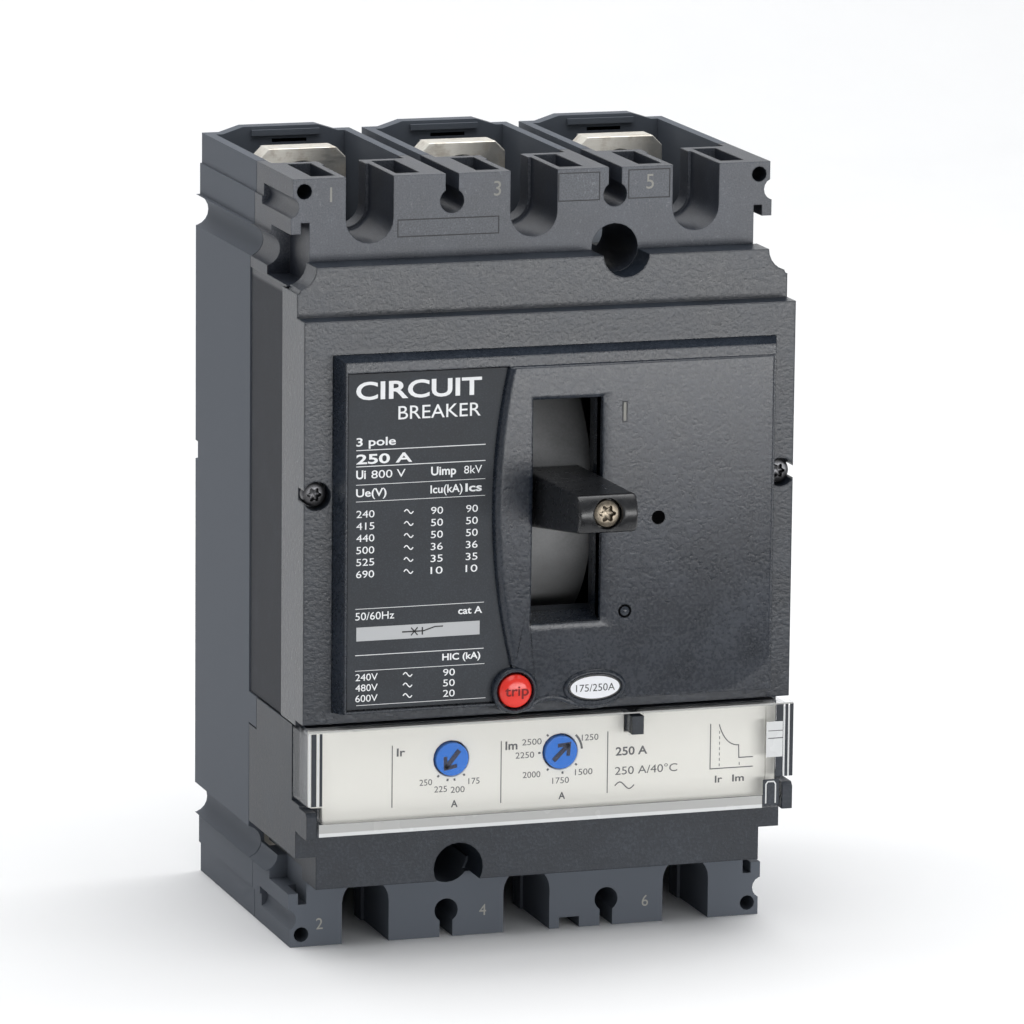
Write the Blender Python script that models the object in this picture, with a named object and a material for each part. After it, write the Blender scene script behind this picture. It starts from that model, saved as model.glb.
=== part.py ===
"""Three-pole molded case circuit breaker with an interchangeable thermal-magnetic trip unit.

The frame is in metres: X runs to the right seen from the front, Y runs into the object and Z is up.
The origin is the centre of the rear mounting face, so all of the body lies at negative Y.
Named sizes are millimetres. The helpers turn them into metres when they make a mesh.
Depths are distances in front of the mounting face, so a depth D lies at y = -D.
"""

import math

import bmesh
import bpy
from mathutils import Matrix, Vector

MM = 0.001
GAP = 0.3  # play between two pieces that touch
OVER = 1.0  # how far a cutter runs past the face that it opens

# Poles, which set the width
POLE_PITCH = 35.0
POLES = (-POLE_PITCH, 0.0, POLE_PITCH)
WIDTH = len(POLES) * POLE_PITCH
HALF = WIDTH / 2
PARTITIONS = (-POLE_PITCH / 2, POLE_PITCH / 2)
CHAMBER_WIDTH = POLE_PITCH - 6.8  # less the partition between two terminal chambers
POLE_ROOM = POLE_PITCH - 5.0  # less the partition between two pole rooms

# Depths of the moulded body in front of the mounting face
REAR_DEPTH = 41.5  # seam between the rear case and what sits in front of it
COVER_DEPTH = 81.0  # main cover face
MID_DEPTH = COVER_DEPTH - 16.0  # seam between the middle case and the front cover
TERMINAL_DEPTH = MID_DEPTH + 3.0  # front faces of the terminal blocks
BAND_DEPTH = COVER_DEPTH - 5.3  # band above the main cover face
PLATE_DEPTH = COVER_DEPTH + 5.0  # raised face plate
WALL = 2.5
REAR_WALL = 3.5

# Heights. The two ends share one set of distances from the end of the body.
END_Z = 79.9  # from the middle to the top of the terminal walls, and to the bottom of the feet
CHAMBER_FLOOR = END_Z - 19.9  # the chambers run from here to the end of the case
POLE_ROOM_END = CHAMBER_FLOOR - 2.5
COVER_TOP = END_Z - 27.1
BAND_TOP = COVER_TOP + 10.1
BAND_BACK_Z = COVER_TOP + 4.9
UNIT_BOTTOM = 16.5 - END_Z
UNIT_TOP = UNIT_BOTTOM + 31.9
SIDE_BOTTOM = UNIT_TOP + GAP
COVER_BOTTOM = UNIT_TOP + 1.4
PLATE_TOP = COVER_TOP - 7.8
PLATE_BOTTOM = COVER_BOTTOM + 2.9

# Terminal ends, the same at the top and at the bottom
SHOULDER_Z = END_Z - 13.0  # the terminal ends are a little narrower beyond this
SHOULDER_STEP = 0.9
STRIP_Z = END_Z - 6.4
STRIP_STEP = 1.3
COVE_Z = END_Z - 16.3
COVE_RADIUS = 3.4
COVE_OUT = 0.7
COVE_DEPTH = TERMINAL_DEPTH - 14.0
LINE_BLOCK_FLOOR = CHAMBER_FLOOR - 2.0
BLOCK_BACK = REAR_DEPTH + 4.0  # the solid part of a terminal block starts at this depth
SLOT_WIDTH = 10.1
SLOT_LIP_WIDTH = SLOT_WIDTH - 1.3
SLOT_LIP_DEPTH = BLOCK_BACK + 5.0
SLOT_BOTTOM = END_Z - 13.7
POCKET_NEAR = SLOT_WIDTH / 2 + 1.35  # each side of a pole's centre line
POCKET_WIDTH = 5.1
POCKET_FRONT, POCKET_BACK = TERMINAL_DEPTH - 3.0, BLOCK_BACK + 2.0
POCKET_FLOOR = END_Z - 11.9
KEYHOLE_Z = END_Z - 5.6
KEYHOLE_RADIUS = 2.55
BARRIER_SLOT = 2.8
CORNER_HOLE = (HALF - 3.7, END_Z - 2.6)
CORNER_HOLE_RADIUS = 1.6
CORNER_HOLE_DEPTH = 10.0
HOOK_WALL_X = HALF - 4.8
HOOK_SLOT_X = HOOK_WALL_X + 1.8
HOOK_SLOT_TOP = END_Z - 9.0
HOOK_SLOT_BACK = TERMINAL_DEPTH - 8.0
HOOK_VOID = (END_Z - 21.5, END_Z - 11.3)
SCALLOP_RADIUS = 2.3
SCALLOP_OUT = -0.3
SCALLOP_Z = END_Z - 5.8
SCALLOP_BACK = TERMINAL_DEPTH - 21.0
TAB_HEIGHT = 1.4
TAB_BASE, TAB_TOP = 25.2, 16.4
BACK_NOTCH = (10.3, 14.2)
BACK_NOTCH_DEPTH = 1.8
TONGUE_DEPTH = REAR_DEPTH + 5.5
TONGUE_Z = (UNIT_TOP - 6.5, UNIT_TOP)
FOOT_NOTCH_X = (7.2, 11.6)
FOOT_NOTCH_HEIGHT = 2.3

# Fixing holes, on one diagonal of the 35 x 125 mm pattern
FIXING_Z = END_Z - 17.4
FIXING_RADIUS = 2.4
TUNNEL_Z = FIXING_Z + 0.8
TUNNEL_RADIUS = 5.0

# Conductors
BAR_WIDTH = 19.0
BAR_BACK = 14.0
BAR_FRONT = BAR_BACK + 6.0
BAR_END_Z = END_Z - 1.0
BAR_CORNER = 2.2
BAR_NECK = 0.5  # inside the case a bar is this much thinner than its terminal pad
BAR_HOLE_Z = END_Z - 8.1
BAR_HOLE_RADIUS = 4.25
NUT_SIZE = 13.0
NUT_THICKNESS = 3.4
NUT_BORE = 4.1

# Screws
SCREW_SHANK_RADIUS = 1.4
SCREW_HEAD_HEIGHT = 2.0
CROSS_WIDTH, CROSS_DEPTH = 0.7, 0.9
CROSS_MARGIN = 0.8  # between the end of the cross and the edge of the head
SCREW_INSET_X = 2.7
SCREW_HEAD_RADIUS = 2.5
SCREW_RECESS_RADIUS = SCREW_HEAD_RADIUS + 0.5
SCREW_RECESS = 4.0
SCREW_BOSS_INSET = 5.0

# Front cover and face plate
COVER_FLOOR = 1.2  # wall below the face, thin to leave room for the button
BAND_HALF = HALF - 4.1
BAND_CORNER = 4.6
PLATE_LEFT, PLATE_RIGHT = 7.3 - HALF, HALF - 5.9
PLATE_DRAFT = (1.3, 1.7, 0.5, 0.9)  # how far the foot of the plate stands out: left, right, down, up
LABEL_LEFT = PLATE_LEFT + 0.7
LABEL_BOTTOM, LABEL_TOP = PLATE_BOTTOM + 0.8, PLATE_TOP - 2.4
LABEL_FRONT = PLATE_DEPTH - 0.7
LABEL_THICKNESS = 0.8
ARC_RADIUS, ARC_LEFT = 135.0, -14.0
OVAL_X, OVAL_Z = 8.0, PLATE_BOTTOM + 2.8
OVAL_HALF = (5.6, 2.65)
OVAL_FRONT, OVAL_THICKNESS = PLATE_DEPTH + 0.5, 0.9

# Toggle
TOGGLE_X = 1.45
WINDOW_WIDTH = 14.7
WINDOW_BOTTOM, WINDOW_TOP = PLATE_BOTTOM + 16.8, PLATE_TOP - 9.1
WINDOW_LEDGE = 2.2  # how far the lower edge of the window slopes up on its way in
PIVOT_Z = (WINDOW_BOTTOM + WINDOW_TOP) / 2 - 1.15
SHUTTER_RADIUS, SHUTTER_THICKNESS = 29.5, 1.5
SHUTTER_HALF_ANGLE = math.radians(60)
SHUTTER_WIDTH = WINDOW_WIDTH + 2.7
PIVOT_DEPTH = COVER_DEPTH - WALL - 1.0 - SHUTTER_RADIUS  # the shutter turns 1 mm behind the cover's wall
TRIPPED_ANGLE = math.radians(-4.8)  # the tripped handle points a little upwards
ARC_Z = PIVOT_Z + 2.4
SCREW_Z = PIVOT_Z + 5.6
TRIPPED_MARK = (21.1, PIVOT_Z - 1.2)
TRIPPED_MARK_RADIUS = 1.45
HANDLE_END = SHUTTER_RADIUS + 36.2
HANDLE_WIDTH = WINDOW_WIDTH - 2.2
HANDLE_ROOT_HEIGHT, HANDLE_END_HEIGHT = 12.0, 7.5
HANDLE_BULGE = 1.0
HANDLE_SCREW_RADIUS = 2.8
HANDLE_SCREW_SINK = 1.0
TONGUE_LENGTH = SHUTTER_RADIUS + 16.5
TONGUE_HALF = (3.0, 2.4)
TONGUE_BORE, TONGUE_SCREW = 7.0, 6.0
YOKE_HALF_WIDTH = SHUTTER_WIDTH / 2 + 0.7
YOKE_PLATE = 1.5
YOKE_BRIDGE = 2.0
YOKE_LENGTH = SHUTTER_RADIUS - SHUTTER_THICKNESS - 3.0
YOKE_HALF_HEIGHT = 4.0
PIN_RADIUS = 2.0
PIN_END = 0.8
FRAME_PLATE = 1.6
FRAME_HALF_WIDTH = YOKE_HALF_WIDTH + 3.4
FRAME_Z = (PIVOT_Z - 17.6, PIVOT_Z + 26.4)
FRAME_FRONT = PIVOT_DEPTH + 16.0
FRAME_CORNER = (12.0, 14.0)
FRAME_HOLES = ((9.0, 13.0, 3.0), (9.0, -10.0, 2.0))  # in front of the pivot, above it, radius
DECK_THICKNESS = 2.7
SPRING_RADIUS, SPRING_WIRE = 1.9, 0.45

# Rotary contacts
SHAFT_DEPTH, SHAFT_Z = 23.5, PIVOT_Z + 0.4
SHAFT_RADIUS = 4.0
DRUM_RADIUS = 9.0
ARM_HALF_LENGTH = 17.5
ARM_WIDTH = 7.0
DRUM_WIDTH = ARM_WIDTH + 9.0
ARM_THICKNESS = 3.0
OPEN_ANGLE = math.radians(23.4)  # how far open the contacts stand in the tripped position
CONTACT_LENGTH = 6.0
CONTACT_STAND = 2.0  # between a closed arm and the lower contact's bar
LOWER_BAR_WIDTH = 12.0
LOWER_BAR_THICKNESS = 4.0
LEG_HEIGHT = 4.0
HEATER_LEG_Z = (1.5 - POLE_ROOM_END, 1.5 - POLE_ROOM_END + LEG_HEIGHT)
LOWER_LEG_Z = (HEATER_LEG_Z[1] + 12.0, HEATER_LEG_Z[1] + 12.0 + LEG_HEIGHT)
CHUTE_HALF_WIDTH = 11.0
CHUTE_BOARD = 1.4
CHUTE_BACK_BOARD = 1.2
CHUTE_CLEARANCE = 2.8  # from the circle that the contact tips sweep
CHUTE_ENDS = (6.2, 8.7)  # room past the line chute and past the load chute
CHUTE_LENGTH = 15.0
CHUTE_PITCH = 3.56
CHUTE_PLATE = 1.2
CHUTE_NOTCH = 8.0

# Push-to-trip button, trip bar, bimetals and yokes
TRIP_BAR_DEPTH, TRIP_BAR_Z = MID_DEPTH - 2.6, UNIT_TOP - 8.5
TRIP_BAR_RADIUS = 2.2
TRIP_BAR_HALF = HALF - 6.5
BUTTON_X, BUTTON_Z = -9.1, PLATE_BOTTOM + 3.0
BUTTON_RADIUS = 3.5
BUTTON_FRONT = PLATE_DEPTH + 2.0
BUTTON_DOME = ((0.0, 1.4), (0.35, 0.6), (1.1, 0.0))  # back from the front, in from the radius
BUTTON_FLANGE_RADIUS = BUTTON_RADIUS + 0.7
BUTTON_FLANGE = 1.0
BUTTON_STEM_RADIUS = 1.7
BUTTON_RIB_HALF, BUTTON_RIB_ABOVE, BUTTON_RIB_GAP = 5.0, 4.0, 1.2
BUTTON_TRAVEL = 2.5
BUTTON_SPRING_WIRE = 0.35
LABEL_HOLE_PLAY = 1.2
LEVER_TOP = BUTTON_Z + 2.7
LEVER_THICKNESS = 2.0
LEVER_WIDTH = 3.0
BUTTON_STEM_END = TRIP_BAR_DEPTH + LEVER_THICKNESS / 2 + 2 * GAP
TAB_HALF_WIDTH, TAB_REACH = 2.5, 4.5
BIMETAL_CLEARANCE = 1.1  # between a bimetal and the bar's tabs
BIMETAL_FOOT = 2.0
BIMETAL_STRIP = 1.0
BIMETAL_HALF_WIDTH = 3.5
BIMETAL_TOP = TRIP_BAR_Z - TAB_REACH - 0.5
HEATER_DEPTH = (
    TRIP_BAR_DEPTH - LEVER_THICKNESS / 2 - BIMETAL_CLEARANCE - BIMETAL_FOOT - GAP - LOWER_BAR_THICKNESS
)
YOKE_MAGNET_HALF = 9.0
YOKE_MAGNET_WALL = 1.6
YOKE_MAGNET_Z = (HEATER_LEG_Z[1] + 1.0, HEATER_LEG_Z[1] + 8.0)
YOKE_MAGNET_DEPTH = (HEATER_DEPTH - 4.0, HEATER_DEPTH + 7.0)

# Trip unit
UNIT_FRONT = COVER_DEPTH - 2.3
UNIT_LIP_FRONT = COVER_DEPTH - 5.0
UNIT_LIP_TOP, UNIT_LIP_BOTTOM = UNIT_TOP - 21.7, UNIT_BOTTOM - 2.5
UNIT_LIP_BACK = TERMINAL_DEPTH - 2.0
UNIT_STEP_Z = UNIT_BOTTOM + 4.4
UNIT_NARROW = HALF - 4.4
UNIT_PARTITION = 3.0
FACE_LEFT, FACE_RIGHT = 1.6 - HALF, HALF - 4.9
FACE_BOTTOM = UNIT_TOP - 19.5
FACE_FRONT, FACE_THICKNESS = COVER_DEPTH, 2.0
DIAL_RADIUS, DIAL_FRONT, DIAL_Z = 3.5, COVER_DEPTH + 0.8, UNIT_TOP - 7.4
DIAL_X = {"current_dial": -20.8, "magnetic_dial": 2.65}
DIAL_POINTS = {"current_dial": math.radians(231.5), "magnetic_dial": math.radians(45)}
DIAL_SLOT = (0.9, 2 * DIAL_RADIUS - 2.4, 0.8)
DIAL_FLANGE = 1.0
LUG_FRONT = COVER_DEPTH + 3.0
LUG_BOTTOM, LUG_TOP = UNIT_TOP - 21.9, UNIT_TOP - 16.3
LUG_WIDTH = 2.2
LUG_CHAMFER = 0.8
SEAL_X, SEAL_Z = (16.8, 19.3), (UNIT_TOP - 3.8, UNIT_TOP + 0.9)
SEAL_FRONT = COVER_DEPTH + 4.2

# Clear cover, hinged on the two lugs
CLEAR_FRONT, CLEAR_WALL = COVER_DEPTH + 3.5, 1.3
CLEAR_BACK = UNIT_LIP_FRONT - 2.4
CLEAR_TOP, CLEAR_BOTTOM = UNIT_TOP + 0.9, UNIT_TOP - 21.3
CLEAR_SIDE_BOTTOM = UNIT_TOP - 14.9
CLEAR_SIDE_INSET = 0.1
HINGE_DEPTH, HINGE_Z = COVER_DEPTH + 1.3, UNIT_TOP - 19.1
HINGE_PIN_RADIUS = 0.8
HINGE_PIN_INSIDE, HINGE_PIN_OUTSIDE = 0.7, 1.2
HINGE_HOLE_WALL = 0.6
EAR_WIDTH, EAR_BACK, EAR_HALF_HEIGHT = 1.4, 0.8, 0.9


def clear_scene():
    """Remove whatever the file opened with."""
    for thing in list(bpy.data.objects):
        bpy.data.objects.remove(thing, do_unlink=True)


def material(name, colour, roughness, metallic=0.0, alpha=1.0):
    """A Principled material, made once for each name."""
    found = bpy.data.materials.get(name)
    if found:
        return found
    made = bpy.data.materials.new(name)
    made.use_nodes = True
    shader = made.node_tree.nodes["Principled BSDF"]
    shader.inputs["Base Color"].default_value = (*colour, 1.0)
    shader.inputs["Roughness"].default_value = roughness
    shader.inputs["Metallic"].default_value = metallic
    shader.inputs["Alpha"].default_value = alpha
    return made


def case_plastic():
    return material("case_plastic", (0.075, 0.085, 0.105), 0.55)


def dark_plastic():
    return material("dark_plastic", (0.012, 0.013, 0.016), 0.35)


def tinned_copper():
    return material("tinned_copper", (0.66, 0.64, 0.58), 0.3, 1.0)


def bare_copper():
    return material("bare_copper", (0.75, 0.36, 0.2), 0.35, 1.0)


def zinc_steel():
    return material("zinc_steel", (0.55, 0.55, 0.53), 0.35, 1.0)


def spring_steel():
    return material("spring_steel", (0.35, 0.35, 0.36), 0.3, 1.0)


def object_from(name, shape):
    """Turn a bmesh in millimetres into an object in metres, with its faces pointing out."""
    bmesh.ops.scale(shape, vec=(MM, MM, MM), verts=shape.verts)
    bmesh.ops.recalc_face_normals(shape, faces=shape.faces)
    mesh = bpy.data.meshes.new(name)
    shape.to_mesh(mesh)
    shape.free()
    made = bpy.data.objects.new(name, mesh)
    bpy.context.scene.collection.objects.link(made)
    return made


def block(x, y, z, name="block"):
    """A box between two values on each axis, in any order."""
    shape = bmesh.new()
    bmesh.ops.create_cube(shape, size=1.0)
    for vertex in shape.verts:
        for axis, span in enumerate((x, y, z)):
            vertex.co[axis] = max(span) if vertex.co[axis] > 0 else min(span)
    return object_from(name, shape)


def prism(outline, span, axis="Y", name="prism"):
    """Extrude an outline along an axis: (y, z) points along X, (x, z) along Y, (x, y) along Z."""
    order = {"X": (2, 0, 1), "Y": (0, 2, 1), "Z": (0, 1, 2)}[axis]
    shape = bmesh.new()
    rings = []
    for level in span:
        ring = []
        for first, second in outline:
            place = (first, second, level)
            ring.append(shape.verts.new([place[index] for index in order]))
        rings.append(ring)
    for ring in rings:
        shape.faces.new(ring)
    for index in range(len(outline)):
        after = (index + 1) % len(outline)
        shape.faces.new((rings[0][index], rings[0][after], rings[1][after], rings[1][index]))
    return object_from(name, shape)


def arc(centre, radius, start, end, steps):
    """Points along an arc, both ends included, with the angles in degrees."""
    points = []
    for step in range(steps + 1):
        angle = math.radians(start + (end - start) * step / steps)
        points.append((centre[0] + radius * math.cos(angle), centre[1] + radius * math.sin(angle)))
    return points


def rod(centre, radius, span, axis="Y", sides=20, name="rod"):
    """A round bar along an axis, centred on its two other coordinates."""
    return prism(arc(centre, radius, 0, 360 * (1 - 1 / sides), sides - 1), span, axis, name)


def combine(body, tools, operation):
    """Apply one Boolean for each tool, and remove the tools."""
    for tool in tools:
        step = body.modifiers.new(operation.lower(), "BOOLEAN")
        step.operation = operation
        step.solver = "EXACT"
        step.object = tool
    bpy.context.view_layer.update()
    graph = bpy.context.evaluated_depsgraph_get()
    result = bpy.data.meshes.new_from_object(body.evaluated_get(graph))
    body.modifiers.clear()
    body.data = result
    for tool in tools:
        bpy.data.objects.remove(tool, do_unlink=True)
    return body


def cut(body, *tools):
    return combine(body, tools, "DIFFERENCE")


def join(body, *tools):
    return combine(body, tools, "UNION")


def finish(body, name, surface, pivot=None, angle=0.0):
    """Name a piece and give it its material, with its origin on the axis that it turns or slides on.

    A piece with an angle was made level with the axis, and is turned about X by that angle.
    """
    body.name = name
    body.data.name = name
    body.data.materials.clear()
    body.data.materials.append(surface)
    if pivot:
        place = Vector(pivot) * MM
        body.data.transform(Matrix.Translation(-place))
        body.location = place
        body.rotation_euler.x = angle
    return body


def smooth(body):
    """Shade the round faces smooth and keep the corners sharp."""
    body.data.shade_smooth()
    body.data.set_sharp_from_angle(angle=math.radians(35))
    return body


def side_trims(end, front, back):
    """Cutters that narrow a terminal end, one coved groove and two small steps on each side."""
    tools = []
    for side in (-1, 1):
        steps = ((SHOULDER_Z, SHOULDER_STEP), (STRIP_Z, STRIP_STEP))
        for start, step in steps:
            x = (side * (HALF - step), side * (HALF + OVER))
            tools.append(block(x, (-front, -back), (end * start, end * (END_Z + OVER))))
        cove = (side * (HALF + COVE_OUT), end * COVE_Z)
        tools.append(rod(cove, COVE_RADIUS, (-min(front, COVE_DEPTH), -back)))
    return tools


def barrier_slots(end, front, back):
    """Cutters for the slots between two poles that a phase barrier slides into."""
    tools = []
    for middle in PARTITIONS:
        x = (middle - BARRIER_SLOT / 2, middle + BARRIER_SLOT / 2)
        tools.append(block(x, (-front, -back), (end * KEYHOLE_Z, end * (END_Z + OVER))))
    return tools


def chambers(end, front, back):
    """Cutters for the three terminal chambers of one end."""
    tools = []
    for pole in POLES:
        x = (pole - CHAMBER_WIDTH / 2, pole + CHAMBER_WIDTH / 2)
        tools.append(block(x, (-front, -back), (end * CHAMBER_FLOOR, end * (END_Z + OVER))))
    return tools


def rear_case():
    """The rear half of the body, with three pole rooms and six terminal chambers."""
    case = block((-HALF, HALF), (-REAR_DEPTH, 0), (-END_Z, END_Z))
    added = []
    for pole in POLES:
        outline = [
            (pole - TAB_BASE / 2, END_Z - OVER),
            (pole + TAB_BASE / 2, END_Z - OVER),
            (pole + TAB_BASE / 2, END_Z),
            (pole + TAB_TOP / 2, END_Z + TAB_HEIGHT),
            (pole - TAB_TOP / 2, END_Z + TAB_HEIGHT),
            (pole - TAB_BASE / 2, END_Z),
        ]
        added.append(prism(outline, (-REAR_WALL, 0)))
    for side in (-1, 1):
        x = (side * (HALF - WALL), side * HALF)
        added.append(block(x, (-TONGUE_DEPTH, -REAR_DEPTH + OVER), TONGUE_Z))
    join(case, *added)

    front = REAR_DEPTH + OVER
    tools = []
    for end in (-1, 1):
        tools += side_trims(end, front, -OVER)
        tools += chambers(end, front, REAR_WALL)
        tools += barrier_slots(end, front, -OVER)
        for pole in POLES:
            half = BAR_WIDTH / 2 + GAP
            through = (end * (POLE_ROOM_END - OVER), end * (CHAMBER_FLOOR + OVER))
            tools.append(block((pole - half, pole + half), (-BAR_FRONT - GAP, -BAR_BACK + GAP), through))
        tools.append(rod((end * POLE_PITCH / 2, end * FIXING_Z), FIXING_RADIUS, (-front, OVER)))
        notch = (end * (HALF - BACK_NOTCH_DEPTH), end * (HALF + OVER))
        tools.append(block(notch, (-BACK_NOTCH_DEPTH, OVER), BACK_NOTCH))
    for pole in POLES:
        room = (pole - POLE_ROOM / 2, pole + POLE_ROOM / 2)
        tools.append(block(room, (-front, -REAR_WALL), (-POLE_ROOM_END, POLE_ROOM_END)))
    for middle in PARTITIONS:
        reach = POLE_PITCH / 2
        half = SHAFT_RADIUS + 2 * GAP
        seat = (-front, -SHAFT_DEPTH + half)
        tools.append(block((middle - reach, middle + reach), seat, (SHAFT_Z - half, SHAFT_Z + half)))
    cut(case, *tools)
    return finish(case, "rear_case", case_plastic())


def terminal_block_tools(end):
    """Cutters for the front of a terminal block: slots, keyholes, screw holes, hooks and grooves."""
    front = TERMINAL_DEPTH + OVER
    back = REAR_DEPTH
    tools = side_trims(end, front, back)
    tools += chambers(end, BLOCK_BACK, back)
    tools += barrier_slots(end, front, back)
    for pole in POLES:
        for width, near, far in (
            (SLOT_WIDTH, SLOT_LIP_DEPTH, front),
            (SLOT_LIP_WIDTH, BLOCK_BACK - OVER, SLOT_LIP_DEPTH + OVER),
        ):
            centre = end * (SLOT_BOTTOM + SLOT_WIDTH / 2)
            top = end * (END_Z + OVER)
            outline = arc((pole, centre), width / 2, 180, 180 + end * 180, 12)
            outline += [(pole + width / 2, top), (pole - width / 2, top)]
            tools.append(prism(outline, (-far, -near)))
    for middle in PARTITIONS:
        tools.append(rod((middle, end * KEYHOLE_Z), KEYHOLE_RADIUS, (-front, -back)))
    for side in (-1, 1):
        hole = (side * CORNER_HOLE[0], end * CORNER_HOLE[1])
        depth = (-front, -TERMINAL_DEPTH + CORNER_HOLE_DEPTH)
        tools.append(rod(hole, CORNER_HOLE_RADIUS, depth, sides=12))
        void = (end * HOOK_VOID[0], end * HOOK_VOID[1])
        tools.append(block((side * HOOK_WALL_X, side * (HALF + OVER)), (-front, -COVE_DEPTH), void))
        slot = (end * (HOOK_VOID[1] - OVER), end * HOOK_SLOT_TOP)
        tools.append(block((side * HOOK_WALL_X, side * HOOK_SLOT_X), (-front, -HOOK_SLOT_BACK), slot))
        scallop = (side * (HALF + SCALLOP_OUT), end * SCALLOP_Z)
        tools.append(rod(scallop, SCALLOP_RADIUS, (-front, -SCALLOP_BACK), sides=16))
    tunnel = (end * POLE_PITCH / 2, end * TUNNEL_Z)
    tools.append(rod(tunnel, TUNNEL_RADIUS, (-front, -back), sides=24))
    return tools


def middle_case():
    """The middle case: a ring on the rear case, with a deck over the poles and the line terminal block."""
    half = HALF - GAP
    back = REAR_DEPTH + GAP
    case = block((-half, half), (-MID_DEPTH, -back), (SIDE_BOTTOM, CHAMBER_FLOOR))
    inner = half - WALL
    deck = back + DECK_THICKNESS
    room = (SIDE_BOTTOM + WALL, LINE_BLOCK_FLOOR)
    cut(case, block((-inner, inner), (-MID_DEPTH - OVER, -deck), room))
    top = block((-HALF, HALF), (-TERMINAL_DEPTH, -back), (LINE_BLOCK_FLOOR, END_Z))
    join(case, top)
    tools = terminal_block_tools(1)
    for pole in POLES:
        for side in (-1, 1):
            x = (pole + side * POCKET_NEAR, pole + side * (POCKET_NEAR + POCKET_WIDTH))
            tools.append(block(x, (-POCKET_FRONT, -POCKET_BACK), (POCKET_FLOOR, END_Z + OVER)))
    opening = FRAME_HALF_WIDTH - FRAME_PLATE
    x = (TOGGLE_X - opening, TOGGLE_X + opening)
    tools.append(block(x, (-deck - OVER, -REAR_DEPTH), (FRAME_Z[0] + WALL, FRAME_Z[1] - WALL)))
    reach = LEVER_WIDTH / 2 + WALL
    x = (BUTTON_X - reach, BUTTON_X + reach)
    y = (-MID_DEPTH - OVER, -TRIP_BAR_DEPTH + reach)
    tools.append(block(x, y, (SIDE_BOTTOM - OVER, SIDE_BOTTOM + WALL + OVER)))
    cut(case, *tools)
    return finish(case, "middle_case", case_plastic())


def load_terminal_block():
    """The lower terminal block, whose feet stand below the trip unit."""
    back = REAR_DEPTH + GAP
    bridge_top = UNIT_BOTTOM - GAP
    lip_bottom = UNIT_LIP_BOTTOM - GAP
    feet = block((-HALF, HALF), (-TERMINAL_DEPTH, -back), (-END_Z, lip_bottom))
    join(feet, block((-HALF, HALF), (-UNIT_LIP_BACK + GAP, -back), (lip_bottom - OVER, bridge_top)))
    tools = terminal_block_tools(-1)
    notch = (-END_Z - OVER, -END_Z + FOOT_NOTCH_HEIGHT)
    tools.append(block(FOOT_NOTCH_X, (-TERMINAL_DEPTH - OVER, -HOOK_SLOT_BACK), notch))
    cut(feet, *tools)
    return finish(feet, "load_terminal_block", case_plastic())


def window_cutter(play, back):
    """The toggle's window, whose lower edge slopes up on its way in."""
    half = WINDOW_WIDTH / 2 + play
    front = PLATE_DEPTH + OVER
    outline = [
        (-front, WINDOW_BOTTOM - play),
        (-PLATE_DEPTH, WINDOW_BOTTOM - play),
        (-COVER_DEPTH + WALL, WINDOW_BOTTOM + WINDOW_LEDGE - play),
        (-back, WINDOW_BOTTOM + WINDOW_LEDGE - play),
        (-back, WINDOW_TOP + play),
        (-front, WINDOW_TOP + play),
    ]
    return prism(outline, (TOGGLE_X - half, TOGGLE_X + half), "X")


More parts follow.
